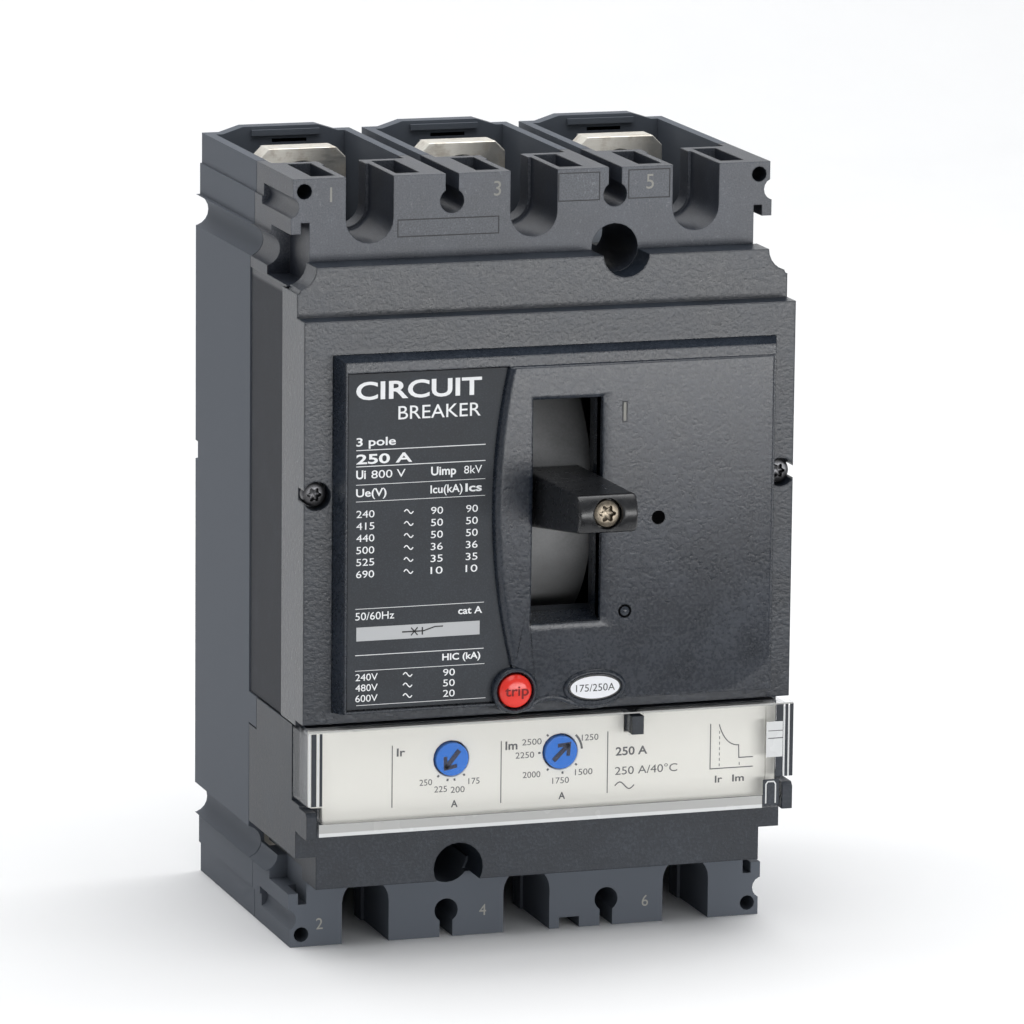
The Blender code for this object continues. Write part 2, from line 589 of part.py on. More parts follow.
def front_cover():
    """The main cover: a face, a lower band above it, and the walls that seat on the middle case."""
    back = MID_DEPTH + GAP
    cover = block((-HALF, HALF), (-BAND_DEPTH, -back), (SIDE_BOTTOM, BAND_BACK_Z))
    corner = (BAND_HALF + BAND_CORNER, BAND_TOP)
    right = arc(corner, BAND_CORNER, 270, 180, 6)
    right = [point for point in right if point[0] <= HALF]
    left = [(-x, z) for x, z in reversed(right)]
    outline = [(HALF, BAND_BACK_Z - OVER), *right, *left, (-HALF, BAND_BACK_Z - OVER)]
    join(cover, prism(outline, (-BAND_DEPTH, -TERMINAL_DEPTH - GAP)))
    join(cover, block((-HALF, HALF), (-COVER_DEPTH, -BAND_DEPTH + OVER), (COVER_BOTTOM, COVER_TOP)))

    inner = HALF - WALL
    room = (SIDE_BOTTOM + WALL, BAND_BACK_Z - WALL)
    cut(
        cover,
        block((-inner, inner), (-BAND_DEPTH + WALL, -back + OVER), room),
        block((-inner, inner), (-COVER_DEPTH + WALL, -back), (COVER_BOTTOM + COVER_FLOOR, COVER_TOP - WALL)),
    )
    added = []
    tools = [window_cutter(GAP, MID_DEPTH)]
    for side in (-1, 1):
        x = side * (HALF - SCREW_INSET_X)
        boss = (side * (HALF - SCREW_INSET_X - SCREW_BOSS_INSET), side * (HALF - OVER))
        z = (SCREW_Z - SCREW_RECESS_RADIUS - OVER, SCREW_Z + SCREW_RECESS_RADIUS + OVER)
        added.append(block(boss, (-COVER_DEPTH + OVER, -back), z))
        hole = (x, SCREW_Z)
        tools.append(rod(hole, SCREW_RECESS_RADIUS, (-COVER_DEPTH - OVER, -COVER_DEPTH + SCREW_RECESS)))
        tools.append(rod(hole, SCREW_SHANK_RADIUS + GAP, (-COVER_DEPTH, -back + OVER), sides=12))
    rib_back = back + BUTTON_RIB_GAP
    rib = (BUTTON_X - BUTTON_RIB_HALF, BUTTON_X + BUTTON_RIB_HALF)
    rib_z = (SIDE_BOTTOM + OVER, BUTTON_Z + BUTTON_RIB_ABOVE)
    added.append(block(rib, (-rib_back - WALL, -rib_back), rib_z))
    join(cover, *added)
    button = (BUTTON_X, BUTTON_Z)
    tools.append(rod(button, BUTTON_RADIUS + GAP, (-COVER_DEPTH - OVER, -COVER_DEPTH + WALL + OVER)))
    tools.append(rod(button, BUTTON_STEM_RADIUS + GAP, (-rib_back - WALL - OVER, -back), sides=12))
    tools.append(rod((POLE_PITCH / 2, TUNNEL_Z), TUNNEL_RADIUS, (-BAND_DEPTH - OVER, -MID_DEPTH), sides=24))
    cut(cover, *tools)
    return finish(cover, "front_cover", case_plastic())


def label_outline(play):
    """The label's outline: three straight sides and a long arc on the right."""
    centre = ARC_LEFT + ARC_RADIUS
    low, high = LABEL_BOTTOM - play, LABEL_TOP + play
    points = [(LABEL_LEFT - play, high), (LABEL_LEFT - play, low)]
    steps = 12
    for step in range(steps + 1):
        z = low + (high - low) * step / steps
        points.append((centre - math.sqrt(ARC_RADIUS**2 - (z - ARC_Z) ** 2) + play, z))
    return points


def ellipse(centre, half, steps=24):
    """Points around an ellipse."""
    turn = 2 * math.pi / steps
    return [
        (centre[0] + half[0] * math.cos(turn * step), centre[1] + half[1] * math.sin(turn * step))
        for step in range(steps)
    ]


def face_plate():
    """The raised plate on the cover, drafted on all sides, with a pocket for the label."""
    left, right, down, up = PLATE_DRAFT
    shape = bmesh.new()
    foot_x = (PLATE_LEFT - left, PLATE_RIGHT + right)
    foot_z = (PLATE_BOTTOM - down, PLATE_TOP + up)
    rings = []
    for xs, zs, depth in (
        (foot_x, foot_z, COVER_DEPTH + GAP),
        ((PLATE_LEFT, PLATE_RIGHT), (PLATE_BOTTOM, PLATE_TOP), PLATE_DEPTH),
    ):
        corners = ((xs[0], zs[0]), (xs[1], zs[0]), (xs[1], zs[1]), (xs[0], zs[1]))
        rings.append([shape.verts.new((x, -depth, z)) for x, z in corners])
    for ring in rings:
        shape.faces.new(ring)
    bmesh.ops.bridge_loops(shape, edges=shape.edges)
    plate = object_from("face_plate", shape)
    past = -PLATE_DEPTH - OVER
    back = -COVER_DEPTH + OVER
    seat = -LABEL_FRONT + LABEL_THICKNESS + GAP
    recess = [value + GAP for value in OVAL_HALF]
    cut(
        plate,
        prism(label_outline(GAP), (past, seat)),
        window_cutter(0.0, COVER_DEPTH - OVER),
        rod((BUTTON_X, BUTTON_Z), BUTTON_RADIUS + GAP, (past, back)),
        prism(ellipse((OVAL_X, OVAL_Z), recess), (past, -OVAL_FRONT + OVAL_THICKNESS + GAP)),
        rod(TRIPPED_MARK, TRIPPED_MARK_RADIUS, (past, -COVER_DEPTH - OVER), sides=14),
    )
    return finish(plate, "face_plate", case_plastic())


def label_plate():
    """The printed plate left of the toggle, with a hole where it meets the button."""
    label = prism(label_outline(0.0), (-LABEL_FRONT, -LABEL_FRONT + LABEL_THICKNESS))
    hole = BUTTON_RADIUS + LABEL_HOLE_PLAY
    cut(label, rod((BUTTON_X, BUTTON_Z), hole, (-PLATE_DEPTH, -COVER_DEPTH)))
    return finish(label, "label_plate", material("label_grey", (0.055, 0.062, 0.072), 0.6))


def rating_insert():
    """The oval insert that carries the current rating."""
    insert = prism(ellipse((OVAL_X, OVAL_Z), OVAL_HALF), (-OVAL_FRONT, -OVAL_FRONT + OVAL_THICKNESS))
    return smooth(finish(insert, "rating_insert", material("insert_white", (0.78, 0.79, 0.82), 0.35)))


def screw_body(centre, radius, top, end):
    """A screw along Y: a round head with a cross recess, and a shank that ends at a given y."""
    head = top + SCREW_HEAD_HEIGHT
    screw = rod(centre, radius, (top, head), sides=20)
    join(screw, rod(centre, SCREW_SHANK_RADIUS, (head - OVER, end), sides=12))
    x, z = centre
    reach, half = radius - CROSS_MARGIN, CROSS_WIDTH / 2
    depth = (top - OVER, top + CROSS_DEPTH)
    return cut(
        screw,
        block((x - reach, x + reach), depth, (z - half, z + half)),
        block((x - half, x + half), depth, (z - reach, z + reach)),
    )


def cover_screw(side, name):
    """A cross-recessed screw of the main cover."""
    centre = (side * (HALF - SCREW_INSET_X), SCREW_Z)
    top = -COVER_DEPTH + SCREW_RECESS - GAP - SCREW_HEAD_HEIGHT
    screw = screw_body(centre, SCREW_HEAD_RADIUS, top, -MID_DEPTH - 2 * GAP)
    return smooth(finish(screw, name, zinc_steel()))


def terminal_bar(pole, z, end):
    """A flat bar between two heights, thicker where it forms the pad in its terminal chamber."""
    x = (pole - BAR_WIDTH / 2, pole + BAR_WIDTH / 2)
    bar = block(x, (-BAR_FRONT + BAR_NECK, -BAR_BACK), z)
    pad = (end * (CHAMBER_FLOOR + GAP), end * BAR_END_Z)
    return join(bar, block(x, (-BAR_FRONT, -BAR_BACK), pad))


def terminal_bar_tools(pole, end):
    """Cutters for a terminal pad: a bolt hole and two cut corners."""
    hole = rod((pole, end * BAR_HOLE_Z), BAR_HOLE_RADIUS, (-BAR_FRONT - OVER, -BAR_BACK + OVER), sides=24)
    tools = [hole]
    for side in (-1, 1):
        x = pole + side * BAR_WIDTH / 2
        z = end * BAR_END_Z
        outline = [
            (x - side * BAR_CORNER, z + end * OVER),
            (x - side * BAR_CORNER, z),
            (x, z - end * BAR_CORNER),
            (x + side * OVER, z - end * BAR_CORNER),
            (x + side * OVER, z + end * OVER),
        ]
        tools.append(prism(outline, (-BAR_FRONT - OVER, -BAR_BACK + OVER)))
    return tools


def contact_face():
    """Distance from the shaft's centre to a fixed contact's face, with the contacts closed."""
    return ARM_THICKNESS / 2 + GAP


def line_terminal(pole, name):
    """A line-side bar: the terminal pad above, the fixed contact below."""
    tip = SHAFT_Z + ARM_HALF_LENGTH
    low = tip - CONTACT_LENGTH
    bar = terminal_bar(pole, (low, BAR_END_Z), 1)
    half = ARM_WIDTH / 2
    face = -SHAFT_DEPTH + contact_face()
    join(bar, block((pole - half, pole + half), (face, -BAR_FRONT + OVER), (low, tip)))
    cut(bar, *terminal_bar_tools(pole, 1))
    return finish(bar, name, tinned_copper())


def load_terminal(pole, name):
    """A load-side bar: the terminal pad below, then a leg forwards and the heater leg up."""
    top = HEATER_LEG_Z[1]
    bar = terminal_bar(pole, (-BAR_END_Z, top), -1)
    thin = LOWER_BAR_WIDTH / 2
    front = -HEATER_DEPTH - LOWER_BAR_THICKNESS
    x = (pole - thin, pole + thin)
    join(
        bar,
        block(x, (front, -BAR_BACK - OVER), HEATER_LEG_Z),
        block(x, (front, -HEATER_DEPTH), (top - OVER, LOWER_LEG_Z[0] - GAP)),
    )
    cut(bar, *terminal_bar_tools(pole, -1))
    return finish(bar, name, tinned_copper())


def lower_contact(pole, name):
    """The load-side fixed contact, with a leg that runs forwards to the heater."""
    half = LOWER_BAR_WIDTH / 2
    low = SHAFT_Z - ARM_HALF_LENGTH
    high = low + CONTACT_LENGTH
    back = -SHAFT_DEPTH - ARM_THICKNESS / 2 - CONTACT_STAND
    front = back - LOWER_BAR_THICKNESS
    x = (pole - half, pole + half)
    bar = block(x, (front, back), (LOWER_LEG_Z[0], high))
    join(
        bar,
        block(x, (-HEATER_DEPTH - LOWER_BAR_THICKNESS, front + OVER), LOWER_LEG_Z),
        block(
            (pole - ARM_WIDTH / 2, pole + ARM_WIDTH / 2),
            (back - OVER, -SHAFT_DEPTH - contact_face()),
            (low, high),
        ),
    )
    return finish(bar, name, bare_copper())


def terminal_nut(pole, end, name):
    """A captive square nut behind a terminal pad."""
    half = NUT_SIZE / 2
    z = end * BAR_HOLE_Z
    back = -BAR_BACK + GAP + NUT_THICKNESS
    nut = block((pole - half, pole + half), (-BAR_BACK + GAP, back), (z - half, z + half))
    cut(nut, rod((pole, z), NUT_BORE, (-BAR_FRONT, 0), sides=16))
    return finish(nut, name, zinc_steel())


def contact_shaft():
    """The shaft that carries the three moving contacts, with a drum in each pole."""
    centre = (-SHAFT_DEPTH, SHAFT_Z)
    half = DRUM_WIDTH / 2
    reach = POLE_PITCH + half
    shaft = rod(centre, SHAFT_RADIUS, (-reach, reach), "X", sides=16)
    join(shaft, *[rod(centre, DRUM_RADIUS, (p - half, p + half), "X", sides=24) for p in POLES])
    tools = []
    for pole in POLES:
        x = (pole - ARM_WIDTH / 2 - GAP, pole + ARM_WIDTH / 2 + GAP)
        y = ARM_THICKNESS / 2 + GAP
        z = DRUM_RADIUS + OVER
        tools.append(block(x, (-SHAFT_DEPTH - y, -SHAFT_DEPTH + y), (SHAFT_Z - z, SHAFT_Z + z)))
    cut(shaft, *tools)
    surface = material("shaft_resin", (0.16, 0.1, 0.06), 0.6)
    pivot = (0.0, -SHAFT_DEPTH, SHAFT_Z)
    return smooth(finish(shaft, "contact_shaft", surface, pivot, OPEN_ANGLE))


def moving_contact(pole, name):
    """A double-ended contact arm through its drum, as it stands when the breaker is closed."""
    x = (pole - ARM_WIDTH / 2, pole + ARM_WIDTH / 2)
    y = ARM_THICKNESS / 2
    z = (SHAFT_Z - ARM_HALF_LENGTH, SHAFT_Z + ARM_HALF_LENGTH)
    arm = block(x, (-SHAFT_DEPTH - y, -SHAFT_DEPTH + y), z)
    return finish(arm, name, bare_copper(), (pole, -SHAFT_DEPTH, SHAFT_Z), OPEN_ANGLE)


def arc_chute(pole, end, name):
    """A stack of arc plates between two side boards, beyond the sweep of a contact tip."""
    near = SHAFT_Z + end * (ARM_HALF_LENGTH + CHUTE_CLEARANCE)
    far = POLE_ROOM_END - CHUTE_ENDS[0] if end > 0 else LOWER_LEG_Z[1] + CHUTE_ENDS[1]
    inner = -SHAFT_DEPTH - end * (ARM_THICKNESS / 2)
    outer = inner - end * CHUTE_LENGTH
    half = CHUTE_HALF_WIDTH
    boards = []
    for side in (-1, 1):
        x = (pole + side * (half - CHUTE_BOARD), pole + side * half)
        boards.append(block(x, (inner, outer), (near, far)))
    back_board = (outer, outer + end * CHUTE_BACK_BOARD)
    chute = block((pole - half + OVER, pole + half - OVER), back_board, (near, far))
    join(chute, *boards)
    count = int((abs(far - near) - CHUTE_PLATE) / CHUTE_PITCH + 0.5) + 1
    for index in range(count):
        z = near + end * CHUTE_PITCH * index
        x = (pole - half + CHUTE_BOARD / 2, pole + half - CHUTE_BOARD / 2)
        plate = block(x, (inner - end * OVER, outer + end * CHUTE_BACK_BOARD / 2), (z, z + end * CHUTE_PLATE))
        notch_x = (pole - CHUTE_NOTCH / 2, pole + CHUTE_NOTCH / 2)
        notch_y = (inner + end * OVER, inner - end * (CHUTE_NOTCH + OVER))
        cut(plate, block(notch_x, notch_y, (z - OVER - CHUTE_PLATE, z + OVER + CHUTE_PLATE)))
        join(chute, plate)
    return finish(chute, name, material("arc_chute_steel", (0.3, 0.28, 0.26), 0.5, 0.8))


def bimetal(pole, name):
    """The strip that bends when the heater leg warms it, on a foot beside the heater."""
    back = -HEATER_DEPTH - LOWER_BAR_THICKNESS - GAP
    front = back - BIMETAL_FOOT
    x = (pole - BIMETAL_HALF_WIDTH, pole + BIMETAL_HALF_WIDTH)
    foot = block(x, (front, back), HEATER_LEG_Z)
    join(foot, block(x, (front, front + BIMETAL_STRIP), (HEATER_LEG_Z[0] + OVER, BIMETAL_TOP)))
    return finish(foot, name, material("bimetal", (0.5, 0.42, 0.33), 0.4, 1.0))


def magnet_yoke(pole, name):
    """A U of soft steel around the heater leg."""
    half = YOKE_MAGNET_HALF
    low, high = YOKE_MAGNET_Z
    back, front = YOKE_MAGNET_DEPTH
    yoke = block((pole - half, pole + half), (-front, -back), YOKE_MAGNET_Z)
    room = (pole - half + YOKE_MAGNET_WALL, pole + half - YOKE_MAGNET_WALL)
    cut(yoke, block(room, (-front - OVER, -back - YOKE_MAGNET_WALL), (low - OVER, high + OVER)))
    return finish(yoke, name, material("soft_steel", (0.42, 0.42, 0.43), 0.45, 1.0))


def toggle_place(body, name, surface):
    """Put a piece of the toggle, made level with the pivot, at the tripped angle."""
    return finish(body, name, surface, (TOGGLE_X, -PIVOT_DEPTH, PIVOT_Z), TRIPPED_ANGLE)


def along_toggle(distance):
    """The y of a point this far out along the level toggle."""
    return -PIVOT_DEPTH - distance


def toggle_handle():
    """The moulded handle: it tapers to a rounded end and has a socket for the lever's tongue."""
    root = SHUTTER_RADIUS + GAP
    low, high = HANDLE_ROOT_HEIGHT / 2, HANDLE_END_HEIGHT / 2
    end = []
    steps = 6
    for step in range(steps + 1):
        across = 1 - 2 * step / steps
        end.append((along_toggle(HANDLE_END - HANDLE_BULGE * across**2), PIVOT_Z + high * across))
    outline = [
        (along_toggle(root), PIVOT_Z - low),
        (along_toggle(root), PIVOT_Z + low),
        *end,
    ]
    half = HANDLE_WIDTH / 2
    handle = prism(outline, (TOGGLE_X - half, TOGGLE_X + half), "X")
    socket = [value + GAP for value in TONGUE_HALF]
    x = (TOGGLE_X - socket[0], TOGGLE_X + socket[0])
    z = (PIVOT_Z - socket[1], PIVOT_Z + socket[1])
    centre = (TOGGLE_X, PIVOT_Z)
    seat = along_toggle(HANDLE_END - HANDLE_SCREW_SINK - SCREW_HEAD_HEIGHT - GAP)
    past = along_toggle(HANDLE_END + OVER)
    cut(
        handle,
        block(x, (along_toggle(TONGUE_LENGTH + GAP), along_toggle(root - OVER)), z),
        rod(centre, HANDLE_SCREW_RADIUS + GAP, (past, seat)),
        rod(centre, SCREW_SHANK_RADIUS + GAP, (past, along_toggle(TONGUE_LENGTH - OVER)), sides=12),
    )
    return toggle_place(handle, "toggle_handle", dark_plastic())


def toggle_screw():
    """The screw in the handle's end, which holds the handle on the tongue."""
    top = along_toggle(HANDLE_END - HANDLE_SCREW_SINK)
    end = along_toggle(TONGUE_LENGTH - TONGUE_SCREW)
    screw = screw_body((TOGGLE_X, PIVOT_Z), HANDLE_SCREW_RADIUS, top, end)
    return smooth(toggle_place(screw, "toggle_screw", zinc_steel()))


def dust_shutter():
    """The curved plate behind the window, which turns with the toggle."""
    reach = math.degrees(SHUTTER_HALF_ANGLE)
    centre = (-PIVOT_DEPTH, PIVOT_Z)
    outline = arc(centre, SHUTTER_RADIUS, 180 - reach, 180 + reach, 24)
    outline += arc(centre, SHUTTER_RADIUS - SHUTTER_THICKNESS, 180 + reach, 180 - reach, 24)
    half = SHUTTER_WIDTH / 2
    shutter = prism(outline, (TOGGLE_X - half, TOGGLE_X + half), "X")
    hole = [value + GAP for value in TONGUE_HALF]
    x = (TOGGLE_X - hole[0], TOGGLE_X + hole[0])
    z = (PIVOT_Z - hole[1], PIVOT_Z + hole[1])
    cut(shutter, block(x, (along_toggle(SHUTTER_RADIUS + OVER), along_toggle(YOKE_LENGTH)), z))
    return smooth(toggle_place(shutter, "dust_shutter", dark_plastic()))


def toggle_lever():
    """The steel yoke under the shutter: two legs on the pivot, a bridge, and the handle's tongue."""
    legs = []
    for side in (-1, 1):
        x = (
            TOGGLE_X + side * (YOKE_HALF_WIDTH - YOKE_PLATE),
            TOGGLE_X + side * YOKE_HALF_WIDTH,
        )
        nose = arc((-PIVOT_DEPTH, PIVOT_Z), YOKE_HALF_HEIGHT, 90, -90, 8)
        end = along_toggle(YOKE_LENGTH)
        outline = [(end, PIVOT_Z + YOKE_HALF_HEIGHT), *nose, (end, PIVOT_Z - YOKE_HALF_HEIGHT)]
        legs.append(prism(outline, x, "X"))
    bridge_y = (along_toggle(YOKE_LENGTH), along_toggle(YOKE_LENGTH - YOKE_BRIDGE))
    height = (PIVOT_Z - YOKE_HALF_HEIGHT, PIVOT_Z + YOKE_HALF_HEIGHT)
    half = YOKE_HALF_WIDTH - YOKE_PLATE / 2
    lever = block((TOGGLE_X - half, TOGGLE_X + half), bridge_y, height)
    x = (TOGGLE_X - TONGUE_HALF[0], TOGGLE_X + TONGUE_HALF[0])
    z = (PIVOT_Z - TONGUE_HALF[1], PIVOT_Z + TONGUE_HALF[1])
    tongue = block(x, (along_toggle(TONGUE_LENGTH), along_toggle(YOKE_LENGTH - OVER)), z)
    join(lever, tongue, *legs)
    reach = YOKE_HALF_WIDTH + OVER
    bore = (along_toggle(TONGUE_LENGTH + OVER), along_toggle(TONGUE_LENGTH - TONGUE_BORE))
    cut(
        lever,
        rod((-PIVOT_DEPTH, PIVOT_Z), PIN_RADIUS + GAP, (TOGGLE_X - reach, TOGGLE_X + reach), "X"),
        rod((TOGGLE_X, PIVOT_Z), SCREW_SHANK_RADIUS + GAP, bore, sides=12),
    )
    return toggle_place(lever, "toggle_lever", zinc_steel())


def toggle_pin():
    """The pin that the toggle turns on, held by the two mechanism plates."""
    reach = FRAME_HALF_WIDTH + PIN_END
    pin = rod((-PIVOT_DEPTH, PIVOT_Z), PIN_RADIUS, (TOGGLE_X - reach, TOGGLE_X + reach), "X", sides=16)
    return smooth(finish(pin, "toggle_pin", zinc_steel()))


def mechanism_plate(side, name):
    """A steel side plate of the operating mechanism, standing on the deck."""
    x = (TOGGLE_X + side * (FRAME_HALF_WIDTH - FRAME_PLATE), TOGGLE_X + side * FRAME_HALF_WIDTH)
    back = REAR_DEPTH + GAP + DECK_THICKNESS + GAP
    low, high = FRAME_Z
    across, down = FRAME_CORNER
    outline = [
        (-back, low),
        (-back, high),
        (-FRAME_FRONT + across, high),
        (-FRAME_FRONT, high - down),
        (-FRAME_FRONT, low + down),
        (-FRAME_FRONT + across, low),
    ]
    plate = prism(outline, x, "X")
    through = (min(x) - OVER, max(x) + OVER)
    cut(plate, rod((-PIVOT_DEPTH, PIVOT_Z), PIN_RADIUS + GAP, through, "X"))
    for ahead, above, radius in FRAME_HOLES:
        cut(plate, rod((-PIVOT_DEPTH - ahead, PIVOT_Z + above), radius, through, "X", sides=12))
    return finish(plate, name, zinc_steel())


def coil(name, centre, radius, wire, span, turns, per_turn=10):
    """A coil spring along Y: a helix of points, tubed by the curve's bevel."""
    steps = int(turns * per_turn)
    curve = bpy.data.curves.new(name, "CURVE")
    curve.dimensions = "3D"
    curve.bevel_depth = wire * MM
    curve.bevel_resolution = 1
    curve.use_fill_caps = True
    line = curve.splines.new("POLY")
    line.points.add(steps)
    for index, point in enumerate(line.points):
        angle = 2 * math.pi * index / per_turn
        y = span[0] + (span[1] - span[0]) * index / steps
        x = centre[0] + radius * math.cos(angle)
        z = centre[1] + radius * math.sin(angle)
        point.co = (x * MM, y * MM, z * MM, 1.0)
    made = bpy.data.objects.new(name, curve)
    bpy.context.scene.collection.objects.link(made)
    curve.materials.append(spring_steel())
    return made


def main_spring(side, name):
    """A main spring between the yoke's bridge and its pivot."""
    start = along_toggle(YOKE_LENGTH - YOKE_BRIDGE - SPRING_WIRE - GAP)
    end = along_toggle(PIN_RADIUS + 2 * GAP + SPRING_WIRE)
    offset = side * (YOKE_HALF_WIDTH - YOKE_PLATE - SPRING_RADIUS - SPRING_WIRE - GAP)
    pivot = Vector((TOGGLE_X, -PIVOT_DEPTH, PIVOT_Z))
    span = (start - pivot.y, end - pivot.y)
    spring = coil(name, (offset, 0.0), SPRING_RADIUS, SPRING_WIRE, span, 6)
    spring.location = pivot * MM
    spring.rotation_euler.x = TRIPPED_ANGLE
    return spring


def trip_button():
    """The push-to-trip button: a domed head, a flange behind the cover and a stem."""
    centre = (BUTTON_X, BUTTON_Z)
    flange = -COVER_DEPTH + WALL + GAP
    rings = [(BUTTON_FRONT - back, BUTTON_RADIUS - inset) for back, inset in BUTTON_DOME]
    shape = bmesh.new()
    loops = []
    sides = 24
    for depth, radius in (*rings, (-flange, BUTTON_RADIUS)):
        ring = arc(centre, radius, 0, 360 * (1 - 1 / sides), sides - 1)
        loops.append([shape.verts.new((x, -depth, z)) for x, z in ring])
    shape.faces.new(loops[0])
    shape.faces.new(loops[-1])
    for first, second in zip(loops, loops[1:]):
        for index in range(sides):
            after = (index + 1) % sides
            shape.faces.new((first[index], first[after], second[after], second[index]))
    button = object_from("trip_button", shape)
    join(
        button,
        rod(centre, BUTTON_FLANGE_RADIUS, (flange - GAP / 2, flange + BUTTON_FLANGE), sides=24),
        rod(centre, BUTTON_STEM_RADIUS, (flange, -BUTTON_STEM_END), sides=12),
    )
    surface = material("button_red", (0.75, 0.03, 0.02), 0.3)
    return smooth(finish(button, "trip_button", surface, (BUTTON_X, -BUTTON_FRONT, BUTTON_Z)))


def trip_button_spring():
    """The button's return spring, drawn at its pressed length on the stem."""
    wire = BUTTON_SPRING_WIRE
    start = -COVER_DEPTH + WALL + 2 * GAP + BUTTON_FLANGE + wire
    rib = -MID_DEPTH - GAP - BUTTON_RIB_GAP - WALL
    length = rib - BUTTON_TRAVEL - wire - GAP - start
    radius = BUTTON_STEM_RADIUS + wire + 2 * GAP
    spring = coil("trip_button_spring", (0.0, 0.0), radius, wire, (0.0, length), 5)
    spring.location = Vector((BUTTON_X, start, BUTTON_Z)) * MM
    return spring


def trip_bar():
    """The trip bar across the three poles, with the button's lever and a tab for each bimetal."""
    centre = (-TRIP_BAR_DEPTH, TRIP_BAR_Z)
    bar = rod(centre, TRIP_BAR_RADIUS, (-TRIP_BAR_HALF, TRIP_BAR_HALF), "X", sides=16)
    half = LEVER_WIDTH / 2
    thin = LEVER_THICKNESS / 2
    y = (-TRIP_BAR_DEPTH - thin, -TRIP_BAR_DEPTH + thin)
    parts = [block((BUTTON_X - half, BUTTON_X + half), y, (TRIP_BAR_Z, LEVER_TOP))]
    for pole in POLES:
        x = (pole - TAB_HALF_WIDTH, pole + TAB_HALF_WIDTH)
        parts.append(block(x, y, (TRIP_BAR_Z - TAB_REACH, TRIP_BAR_Z)))
    join(bar, *parts)
    surface = material("trip_bar_resin", (0.5, 0.48, 0.42), 0.5)
    return smooth(finish(bar, "trip_bar", surface, (0.0, -TRIP_BAR_DEPTH, TRIP_BAR_Z)))


def trip_unit_case():
    """The trip unit's housing: a box open to the rear, with a front lip and two hinge lugs."""
    back = REAR_DEPTH + GAP
    case = block((-HALF, HALF), (-UNIT_LIP_FRONT, -back), (UNIT_STEP_Z, UNIT_TOP))
    narrow = (-UNIT_NARROW, UNIT_NARROW)
    parts = [
        block(narrow, (-UNIT_LIP_FRONT, -back), (UNIT_BOTTOM, UNIT_STEP_Z + OVER)),
        block(narrow, (-UNIT_LIP_FRONT, -UNIT_LIP_BACK), (UNIT_LIP_BOTTOM, UNIT_BOTTOM + OVER)),
        block((-HALF, HALF), (-UNIT_FRONT, -UNIT_LIP_FRONT + OVER), (UNIT_LIP_TOP, UNIT_TOP)),
    ]
    for side in (-1, 1):
        x = (side * (HALF - LUG_WIDTH), side * HALF)
        outline = [
            (-UNIT_FRONT + OVER, LUG_BOTTOM),
            (-LUG_FRONT, LUG_BOTTOM),
            (-LUG_FRONT, LUG_TOP - LUG_CHAMFER),
            (-LUG_FRONT + LUG_CHAMFER, LUG_TOP),
            (-UNIT_FRONT + OVER, LUG_TOP),
        ]
        parts.append(prism(outline, x, "X"))
    parts.append(block(SEAL_X, (-SEAL_FRONT, -UNIT_FRONT + OVER), (SEAL_Z[0], UNIT_TOP)))
    join(case, *parts)

    inner = HALF - WALL
    deep = -UNIT_LIP_FRONT + WALL
    past = -REAR_DEPTH
    tools = []
    near = PARTITIONS[1] - UNIT_PARTITION / 2
    for x in ((-inner, -near - UNIT_PARTITION), (-near, near), (near + UNIT_PARTITION, inner)):
        tools.append(block(x, (deep, past), (UNIT_STEP_Z + WALL, UNIT_TOP - WALL)))
    centre = (-TRIP_BAR_DEPTH, TRIP_BAR_Z)
    tools.append(rod(centre, TRIP_BAR_RADIUS + GAP, (-TRIP_BAR_HALF, TRIP_BAR_HALF), "X"))
    side_wall = CLEAR_WALL + 2 * GAP
    for side in (-1, 1):
        x = (side * (HALF - side_wall), side * (HALF + OVER))
        z = (CLEAR_SIDE_BOTTOM - 3 * GAP, UNIT_TOP + OVER)
        tools.append(block(x, (-UNIT_FRONT - OVER, -CLEAR_BACK + GAP), z))
        hole = (side * (HALF - LUG_WIDTH - OVER), side * (HALF - HINGE_HOLE_WALL))
        tools.append(rod((-HINGE_DEPTH, HINGE_Z), HINGE_PIN_RADIUS + GAP, hole, "X", sides=12))
        tongue = (side * (HALF - WALL - GAP), side * (HALF + OVER))
        tools.append(block(tongue, (-TONGUE_DEPTH - GAP, past), (TONGUE_Z[0] - GAP, UNIT_TOP + OVER)))
    for place in DIAL_X.values():
        tools.append(rod((place, DIAL_Z), DIAL_RADIUS + GAP, (-UNIT_FRONT - OVER, deep + OVER)))
        flange = DIAL_RADIUS + DIAL_FLANGE + GAP
        tools.append(rod((place, DIAL_Z), flange, (deep, deep + DIAL_FLANGE + 3 * GAP)))
    lever = LEVER_WIDTH / 2 + WALL
    x = (BUTTON_X - lever, BUTTON_X + lever)
    y = (-TRIP_BAR_DEPTH - lever, -TRIP_BAR_DEPTH + lever)
    tools.append(block(x, y, (UNIT_TOP - WALL - OVER, UNIT_TOP + OVER)))
    tunnel = (-POLE_PITCH / 2, -TUNNEL_Z)
    tools.append(rod(tunnel, TUNNEL_RADIUS + GAP, (-UNIT_FRONT - OVER, past), sides=24))
    cut(case, *tools)
    return finish(case, "trip_unit_case", case_plastic())


